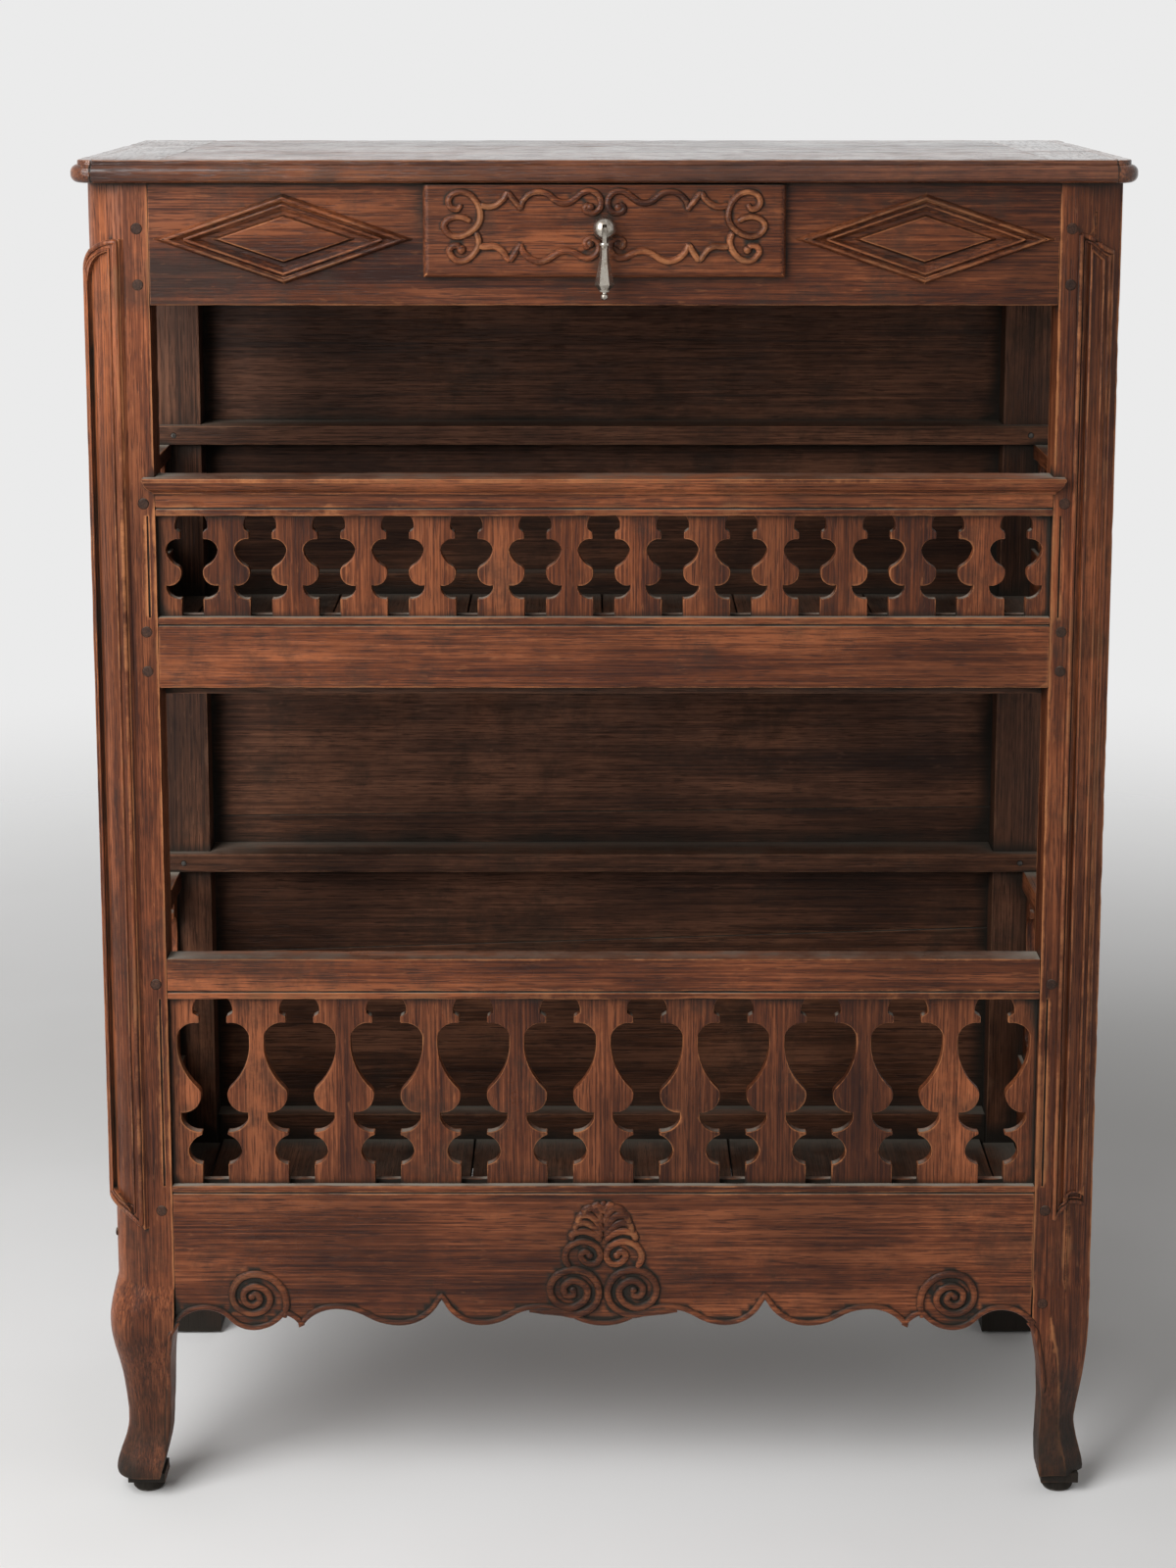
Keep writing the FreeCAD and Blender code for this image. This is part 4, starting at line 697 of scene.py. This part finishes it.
rail = frame["nodes"]["top_rail_front"].data
rim_y = min(v.co.y for v in rail.vertices)
lines = []
for sign in (-1, 1):
    rim = [v.co for v in rail.vertices if v.co.y < rim_y + 0.2 * MM and v.co.x * sign > 0]
    ends = [
        min(rim, key=lambda p: p.x), max(rim, key=lambda p: p.z),
        max(rim, key=lambda p: p.x), min(rim, key=lambda p: p.z),
    ]
    middle = (ends[0] + ends[1] + ends[2] + ends[3]) / 4
    for share, girth in ((0.955, 1.0), (0.80, 0.75)):
        corners = [
            Vector((middle.x + (p.x - middle.x) * share, rim_y, middle.z + (p.z - middle.z) * share))
            for p in ends
        ]
        lines.append((straight(corners), girth, 1, 1, 0))
beads = run_bead("diamond_beads", lines, 1.7 * MM, rim_y, 0.9)
carvings.append((beads, "carcass", "top_rail_front"))
print("diamond beads:", len(lines))

# %% Post frame beads
OUTSIDE = 100  # how far off the corner a ray starts, in mm
POSTS = {hand: tree_of([frame["nodes"]["front_post_" + hand].data]) for hand in ("left", "right")}


def round_corner(across, z):
    """A point on the left post's rounded corner; across its diagonal from the side to the front, in mm."""
    start = Vector((-455, -187, z)) + Vector((across - OUTSIDE, -across - OUTSIDE, 0)) / math.sqrt(2)
    return POSTS["left"].ray_cast(start * MM, Vector((1, 1, 0)).normalized())[0]


def canted_corner(across, z):
    """A point on the right post's canted corner, counted from its front edge, in mm."""
    along, out = Vector((42, 21, 0)).normalized(), Vector((21, -42, 0)).normalized()
    start = Vector((413, -187, z)) + along * across + out * OUTSIDE
    return POSTS["right"].ray_cast(start * MM, -out)[0]


def bowed(place, stops):
    """Height of a bowed edge; each stop has its place, its height and the rise of the bow that follows."""
    for (a, low, rise), (b, high, _) in zip(stops, stops[1:]):
        share = (place - a) / (b - a)
        if share <= 1:
            break
    return low + (high - low) * share + 4 * rise * share * (1 - share)


def frame_loop(find, top, low, inset):
    """A closed line that runs a little way inside a frame's outline."""
    near, far = top[0][0] + inset, top[-1][0] - inset
    across = np.linspace(near, far, 15)
    rows = [(q, bowed(q, top) - inset) for q in across]
    rows += [(far, z) for z in np.arange(rows[-1][1] - 6, bowed(far, low) + inset + 6, -12)]
    rows += [(q, bowed(q, low) + inset) for q in reversed(across)]
    rows += [(near, z) for z in np.arange(rows[-1][1] + 6, bowed(near, top) - inset - 6, 12)]
    found = [find(*row) for row in rows + rows[:1]]
    return [point for point in found if point is not None]


POST_FRAMES = {
    "left": (round_corner, ((-24.7, 1152.2, 3.1), (0, 1174.1, 1.9), (24.7, 1181, 0)),
             ((-24.7, 288.2, 1.3), (0, 284.2, 3), (24.7, 268, 0)), ((2.2, 1.0), (7.9, 0.5))),
    "right": (canted_corner, ((1.5, 1187, 2), (20.5, 1179, -2), (39.5, 1171, 0)),
              ((1.5, 270, 2.9), (20.5, 288, 1.7), (39.5, 281, 0)), ((2.4, 1.0), (6.4, 0.55), (12.4, 0.55))),
}
for hand, (find, top, low, runs) in POST_FRAMES.items():
    loops = [(frame_loop(find, top, low, inset), girth, 1, 1, 0) for inset, girth in runs]
    beads = run_bead("post_beads_" + hand, loops, 2.4 * MM, 0, 1)
    carvings.append((beads, "carcass", "front_post_" + hand))
print("post frame beads:", {hand: len(row[3]) for hand, row in POST_FRAMES.items()})

# %% [markdown]
# ## Measuring wear, shelter and dust
# Old wood tells where it was touched. Each copy below measures three things at its points: how near
# a sharp outer edge is (wear), how much of the sky the neighbours hide (grime and painted shade, which
# darkens corners where shade falls), and whether it faces up in a sheltered place (dust). A search
# tree over the whole dresser answers the second question with a few short rays for every point. The
# boards with a carved ground use a second tree, which holds the carving too.

# %% Measuring helpers
solids = [o.data for o in frame["nodes"].values()]
plain = tree_of(solids)
carved = tree_of(solids + [row[0].data for row in carvings])
RAY_COUNT = 8
REACH = 0.055  # a neighbour shelters within this distance
LIFT = 0.0007  # rays start this far off the surface
GOLDEN_ANGLE = 2.399963
EDGE_STEP = 0.0008  # distance between the points along an edge


def ray_fan():
    """Directions spread over the half sphere above a surface, thicker round its normal."""
    fan = []
    for k in range(RAY_COUNT):
        rise = math.sqrt(1 - (k + 0.5) / RAY_COUNT)
        turn = k * GOLDEN_ANGLE
        flat = math.sqrt(1 - rise * rise)
        fan.append((flat * math.cos(turn), flat * math.sin(turn), rise))
    return fan


FAN = ray_fan()


def shelter(around, point, normal):
    """Share of the sky above a point that the dresser hides at close range."""
    side = normal.orthogonal().normalized()
    across = normal.cross(side)
    start = point + normal * LIFT
    hidden = 0.0
    for a, b, c in FAN:
        hit = around.ray_cast(start, side * a + across * b + normal * c, REACH)
        if hit[0] is not None:
            hidden += 1 - hit[3] / REACH
    return hidden / RAY_COUNT


def spread(edges):
    """Points along edges, in a tree that finds the nearest."""
    points = []
    for e in edges:
        a, b = e.verts[0].co, e.verts[1].co
        count = max(1, int((b - a).length / EDGE_STEP))
        points += [a.lerp(b, (k + 0.5) / count) for k in range(count)]
    near = kdtree.KDTree(max(1, len(points)))
    for k, point in enumerate(points):
        near.insert(point, k)
    near.balance()
    return near if points else None


def keep(mesh, name, kind, values):
    """Store an attribute on a mesh's points."""
    made = mesh.attributes.new(name, kind, "POINT")
    field = "vector" if kind == "FLOAT_VECTOR" else "value"
    made.data.foreach_set(field, np.asarray(values, np.float32).ravel())


print("measuring with", RAY_COUNT, "rays of", REACH, "m")

# %% [markdown]
# ## Ageing a piece
# A copy of each piece is merged, its outer edges are rounded, and its faces are cut into small cells
# so that there are points to measure and to move. Every point then drifts by a fraction of a
# millimetre, as a plane and a scraper leave it, and edges lose small nicks. The wood of each board
# has its own tone, and each kind of piece gets a fixed lightness that is painted light and shade.
# Points near the floor are darkened with painted shade, and hands keep dust off the pieces they touch.
# The copy takes the place of the crisp solid, which stays in the frame for contact.

# %% Ageing helpers
ORDER = {"x": (0, 1, 2), "y": (1, 0, 2), "z": (2, 0, 1)}
# fixed lightness of each kind of piece: painted light and shade, set by how brightly each part is lit; the
# spread below is the boards' own random tone
TONES_AND_LIGHT = (("front_post", 0.6), ("top_rail", -0.3), ("ledge_moulding", 0.8), ("gallery_rail_upper", 0.7),
         ("gallery_rail_lower", -0.25), ("balusters_upper", 0.3), ("apron", -0.25), ("bottom_rail", -0.1))
TONE_SPREAD = 0.5  # boards of one kind differ by this much
HANDLED = ("top_", "drawer_front", "front_post")
HANDLED_DUST, CARVING_DUST = 0.35, 0.3  # shares of the dust that stays
SHARP = math.radians(24)  # shading breaks at edges above this
ARRIS = math.radians(28)  # edges above this are rounded
CUT_OFFSET = 0.5137  # keeps the cuts off the edges in the middle of a piece
RUBBED_WIDTH = 0.0013  # of the strip along an edge
MOST_GRIME_AND_SHADE = 0.5
# painted shade: points lower than this are darkened more the nearer they are to the floor
BOTTOM_DARKENING, BOTTOM_DARKENING_HEIGHT = 0.5, 0.3
TOOL_MARKS = ((0.00022, 24), (0.0001, 90))  # depth, and waves per metre
NICK_DEPTH = 1.4 * MM
NICK_WAVES, NICK_RARITY = 60, 0.12


def solids_of(bm):
    """Number of the separate solid that each point belongs to."""
    bm.verts.index_update()
    number = [-1] * len(bm.verts)
    count = 0
    for first in bm.verts:
        if number[first.index] >= 0:
            continue
        number[first.index] = count
        waiting = [first]
        while waiting:
            here = waiting.pop()
            for e in here.link_edges:
                other = e.other_vert(here)
                if number[other.index] < 0:
                    number[other.index] = count
                    waiting.append(other)
        count += 1
    return number, count


def open_frames(bm):
    """Split raised frames, which run round in a ring, into plain four-sided parts."""
    rings = []
    for face in bm.faces:
        if len(face.verts) > 4:
            corners = [v.co for v in face.verts]
            span = sorted(max(p[k] for p in corners) - min(p[k] for p in corners) for k in range(3))
            if face.calc_area() < 0.4 * span[1] * span[2]:
                rings.append(face)
    bmesh.ops.connect_verts_concave(bm, faces=rings)


def cut_cells(bm, cell):
    """Cut a piece by planes along all three axes, so that no cell is wider than asked."""
    for axis in range(3):
        places = [v.co[axis] for v in bm.verts]
        low, high = min(places), max(places)
        count = int((high - low) / cell)
        normal = [0, 0, 0]
        normal[axis] = 1
        for k in range(count):
            middle = Vector((0, 0, 0))
            middle[axis] = low + (high - low) * (k + CUT_OFFSET) / count
            bmesh.ops.bisect_plane(bm, geom=bm.verts[:] + bm.edges[:] + bm.faces[:], dist=1e-6,
                                   plane_co=middle, plane_no=normal)
    bmesh.ops.triangulate(bm, faces=[face for face in bm.faces if len(face.verts) > 4])


def measure(bm, around, near, grain, seed, nick, settled):
    """Move the points a little and return board places, tones, wear, grime and painted shade, and dust."""
    number, count = solids_of(bm)
    dice = random.Random(seed)
    shifts = [Vector((dice.uniform(0, 40), dice.uniform(0, 3), dice.uniform(0, 3))) for _ in range(count)]
    kind_tone_and_light = next((tone for start, tone in TONES_AND_LIGHT if seed.startswith(start)), 0.0)
    tones = [kind_tone_and_light + dice.uniform(-TONE_SPREAD, TONE_SPREAD) for _ in range(count)]
    bm.normal_update()
    for face in bm.faces:
        face.smooth = True
    for e in bm.edges:
        e.smooth = e.calc_face_angle(0) < SHARP
    boards, tone, wear, grime_and_shade, dust, places = [], [], [], [], [], []
    first, second, third = ORDER[grain]
    for v in bm.verts:
        co, normal = v.co, v.normal
        # share of the sky hidden by neighbours, which drives the grime and painted shade
        hidden = shelter(around, co, normal)
        gap = near.find(co)[2] if near else 1.0
        rub = math.exp(-((gap / RUBBED_WIDTH) ** 2)) * max(0.0, 1 - 1.4 * hidden)
        own = shifts[number[v.index]]
        boards.append((co[first] + own.x, co[second] + own.y, co[third] + own.z))
        tone.append(tones[number[v.index]])
        wear.append(rub)
        # grime and painted shade from shelter, plus painted shade that darkens points near the floor
        grime_and_shade.append(min(hidden, MOST_GRIME_AND_SHADE) + BOTTOM_DARKENING * max(0.0, 1 - co.z / BOTTOM_DARKENING_HEIGHT))
        upward = min((face.normal.z for face in v.link_faces), default=0.0)
        dust.append(settled * max(0.0, upward) * min(1.0, 0.45 + 1.5 * hidden))
        drift = sum(depth * noise.noise(co * waves) for depth, waves in TOOL_MARKS)
        loss = nick * rub * max(0.0, noise.noise(co * NICK_WAVES + own) - NICK_RARITY)
        places.append(co + normal * (drift - loss))
    for v, place in zip(bm.verts, places):
        v.co = place
    return boards, tone, wear, grime_and_shade, dust


def finish_mesh(bm, mesh, measured):
    """Write the moved points and what was measured at them to a mesh."""
    bm.to_mesh(mesh)
    bm.free()
    boards, tone, wear, grime_and_shade, dust = measured
    keep(mesh, "board", "FLOAT_VECTOR", boards)
    for name, values in (("tone", tone), ("wear", wear), ("grime_and_shade", grime_and_shade), ("dust", dust)):
        keep(mesh, name, "FLOAT", values)


def age_piece(node, cell, rounding):
    """Make the aged copy that stands for a node of the frame."""
    _, grain, slot = row_for(node)
    bm = bmesh.new()
    bm.from_mesh(frame["nodes"][node].data)
    bmesh.ops.remove_doubles(bm, verts=bm.verts, dist=SAME_POINT)
    bmesh.ops.dissolve_limit(bm, angle_limit=math.radians(0.6), verts=bm.verts, edges=bm.edges)
    open_frames(bm)
    outer = [e for e in bm.edges if e.is_manifold and e.is_convex]
    sharp = [e for e in outer if e.calc_face_angle(0) > ARRIS]
    shortest = 1.2 * MM if "post" in node or "rail" in node else 0
    near = spread([e for e in sharp if e.calc_length() > shortest])
    bmesh.ops.bevel(bm, geom=sharp, offset=rounding, offset_type="OFFSET", segments=2, profile=0.5,
                    affect="EDGES", clamp_overlap=False, face_strength_mode="ALL")
    cut_cells(bm, cell)
    settled = HANDLED_DUST if node.startswith(HANDLED) else 1.0
    around = carved if node in ("drawer_front", "apron_front") else plain
    measured = measure(bm, around, near, grain, node, NICK_DEPTH, settled)
    mesh = bpy.data.meshes.new(node + "_aged")
    finish_mesh(bm, mesh, measured)
    mesh.materials.append(FINISH[slot])
    piece = bpy.data.objects.new(node + "_aged", mesh)
    scene.collection.objects.link(piece)
    flat = piece.modifiers.new("flat_faces", "WEIGHTED_NORMAL")
    flat.keep_sharp = True
    flat.use_face_influence = True
    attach(piece, frame["nodes"][node]["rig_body"])
    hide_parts(node)
    return piece


print("ageing helpers ready")

# %% [markdown]
# ## Age every wooden piece
# Pieces that the eye meets first get small cells: the drawer front and the apron, whose grounds are
# full of carving, the smallest. Backs and floors need few points. The posts have fine mouldings, so
# their edges are rounded less.

# %% Aged pieces
CELLS = (("drawer_front", 4.5), ("apron_front", 6), ("front_post", 9), ("balusters_upper_front", 5),
         ("balusters_lower_front", 6), ("balusters", 9), ("top_rail_front", 8), ("gallery_rail", 9),
         ("bottom_rail_upper_front", 9), ("ledge_moulding", 9), ("top_moulding", 10), ("joint_pegs", 8),
         ("top_", 16), ("side_", 12), ("rear_ledge", 14), ("", 22))
POST_ROUNDING, ROUNDING = 0.3 * MM, 1.0 * MM
aged = []
for node in wooden:
    cell = next(size for start, size in CELLS if node.startswith(start))
    rounding = POST_ROUNDING if node.startswith("front_post") else ROUNDING
    aged.append(age_piece(node, cell * MM, rounding))
print("aged pieces:", len(aged), "with", sum(len(o.data.polygons) for o in aged), "faces")

# %% [markdown]
# ## Age the carving
# The beads get the same attributes as the boards they stand on. Their crowns are rubbed bright, so
# wear follows how far a point stands out from the ground, and grime and painted shade sit in the angle
# at the foot.

# %% Aged carving
CROWN_WEAR = 0.62


def age_carving(piece, body, ground):
    """Give a bead the attributes of the board it stands on."""
    _, grain, slot = row_for(ground)
    bm = bmesh.new()
    bm.from_mesh(piece.data)
    boards, tone, _, grime_and_shade, dust = measure(bm, carved, None, grain, ground, 0, CARVING_DUST)
    wear = [CROWN_WEAR * max(0.0, 1 - 2.4 * hidden) for hidden in grime_and_shade]
    old = piece.data
    mesh = bpy.data.meshes.new(piece.name)
    finish_mesh(bm, mesh, (boards, tone, wear, grime_and_shade, dust))
    mesh.materials.append(FINISH[slot])
    piece.data = mesh
    bpy.data.meshes.remove(old)
    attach(piece, body)
    return len(mesh.polygons)


print("carving:", sum(age_carving(*row) for row in carvings), "faces")

# %% [markdown]
# ## Metal pieces
# The pull, the nails and the glides have the right shape already, so they stay as they are and only
# take their finish. A weld and a narrow bevel catch the light on their edges.

# %% Metal finishes
for node, piece in sorted(frame["nodes"].items()):
    slot = metal_for(node)
    if slot:
        piece.data.materials.clear()
        piece.data.materials.append(FINISH[slot])
        weld = piece.modifiers.new("weld", "WELD")
        weld.merge_threshold = SAME_POINT
        arris = piece.modifiers.new("arris", "BEVEL")
        arris.width = 0.25 * MM
        arris.segments = 2
        arris.limit_method = "ANGLE"
        arris.angle_limit = math.radians(30)
print("metal pieces:", [n for n in sorted(frame["nodes"]) if metal_for(n)])

# %% [markdown]
# ## The studio
# The dresser stands on a wide pale floor in soft light. The floor fades into a pale world with no
# seam. The world is white only where the camera, a reflection or a clear material looks at it, and
# gives an even, lower light to everything else, so the shade under the shelves stays dark.

# %% Floor
FLOOR_RADIUS = 7
FLOOR_TINTS = ((0.82, 0.82, 0.815, 1), (0.88, 0.88, 0.88, 1))


def pale_floor():
    """A matt pale floor that turns clear far from the dresser."""
    made = bpy.data.materials.new("pale_floor")
    made.use_nodes = True
    tree = made.node_tree
    shader = tree.nodes["Principled BSDF"]
    place = put(tree, "ShaderNodeTexCoord").outputs["Object"]
    folds = stretched_noise(tree, place, (1.6, 1.6, 1.6), 3, 0.5)
    tint = blend(tree, fade(tree, folds, 0.35, 0.65), *FLOOR_TINTS)
    tree.links.new(tint, shader.inputs["Base Color"])
    shader.inputs["Roughness"].default_value = 0.9
    reach = put(tree, "ShaderNodeVectorMath", {0: place}, operation="LENGTH").outputs["Value"]
    clear = put(tree, "ShaderNodeBsdfTransparent")
    mixed = put(tree, "ShaderNodeMixShader", {0: fade(tree, reach, 0.9, 3.4)})
    tree.links.new(shader.outputs[0], mixed.inputs[1])
    tree.links.new(clear.outputs[0], mixed.inputs[2])
    tree.links.new(mixed.outputs[0], tree.nodes["Material Output"].inputs["Surface"])
    return made


bm = bmesh.new()
bmesh.ops.create_circle(bm, cap_ends=True, segments=96, radius=FLOOR_RADIUS)
mesh = bpy.data.meshes.new("studio_floor")
bm.to_mesh(mesh)
bm.free()
mesh.materials.append(pale_floor())
floor = bpy.data.objects.new("studio_floor", mesh)
scene.collection.objects.link(floor)
print("floor:", 2 * FLOOR_RADIUS, "m across")

# %% World and lamps
world = bpy.data.worlds.new("studio")
world.use_nodes = True
scene.world = world
tree = world.node_tree
seen = put(tree, "ShaderNodeLightPath")
direct = calc(tree, "MAXIMUM", seen.outputs["Is Camera Ray"], seen.outputs["Is Glossy Ray"])
direct = calc(tree, "MAXIMUM", direct, seen.outputs["Is Transmission Ray"])
ambient = put(tree, "ShaderNodeBackground", {"Color": (1.0, 0.98, 0.96, 1), "Strength": 0.28})
paper = put(tree, "ShaderNodeBackground", {"Color": (1.0, 1.0, 1.0, 1), "Strength": 0.83})
chosen = put(tree, "ShaderNodeMixShader", {0: direct})
tree.links.new(ambient.outputs[0], chosen.inputs[1])
tree.links.new(paper.outputs[0], chosen.inputs[2])
tree.links.new(chosen.outputs[0], tree.nodes["World Output"].inputs["Surface"])


def soft_lamp(name, place, target, size, watts):
    """A large soft lamp that looks at a target."""
    lamp = bpy.data.lights.new(name, "AREA")
    lamp.shape = "RECTANGLE"
    lamp.size, lamp.size_y = size
    lamp.energy = watts
    made = bpy.data.objects.new(name, lamp)
    made.location = place
    made.rotation_euler = (Vector(target) - Vector(place)).to_track_quat("-Z", "Y").to_euler()
    scene.collection.objects.link(made)


soft_lamp("window_left", (-1.45, -1.65, 2.1), (0, 0, 0.95), (1.8, 2.0), 78)
soft_lamp("front_wall", (-2.0, -2.9, 1.2), (0, 0, 1.0), (1.6, 1.6), 12)
soft_lamp("fill_right", (2.6, -2.6, 1.6), (0, 0, 0.6), (1.6, 1.8), 2)
print("lamps: window_left, front_wall, fill_right")
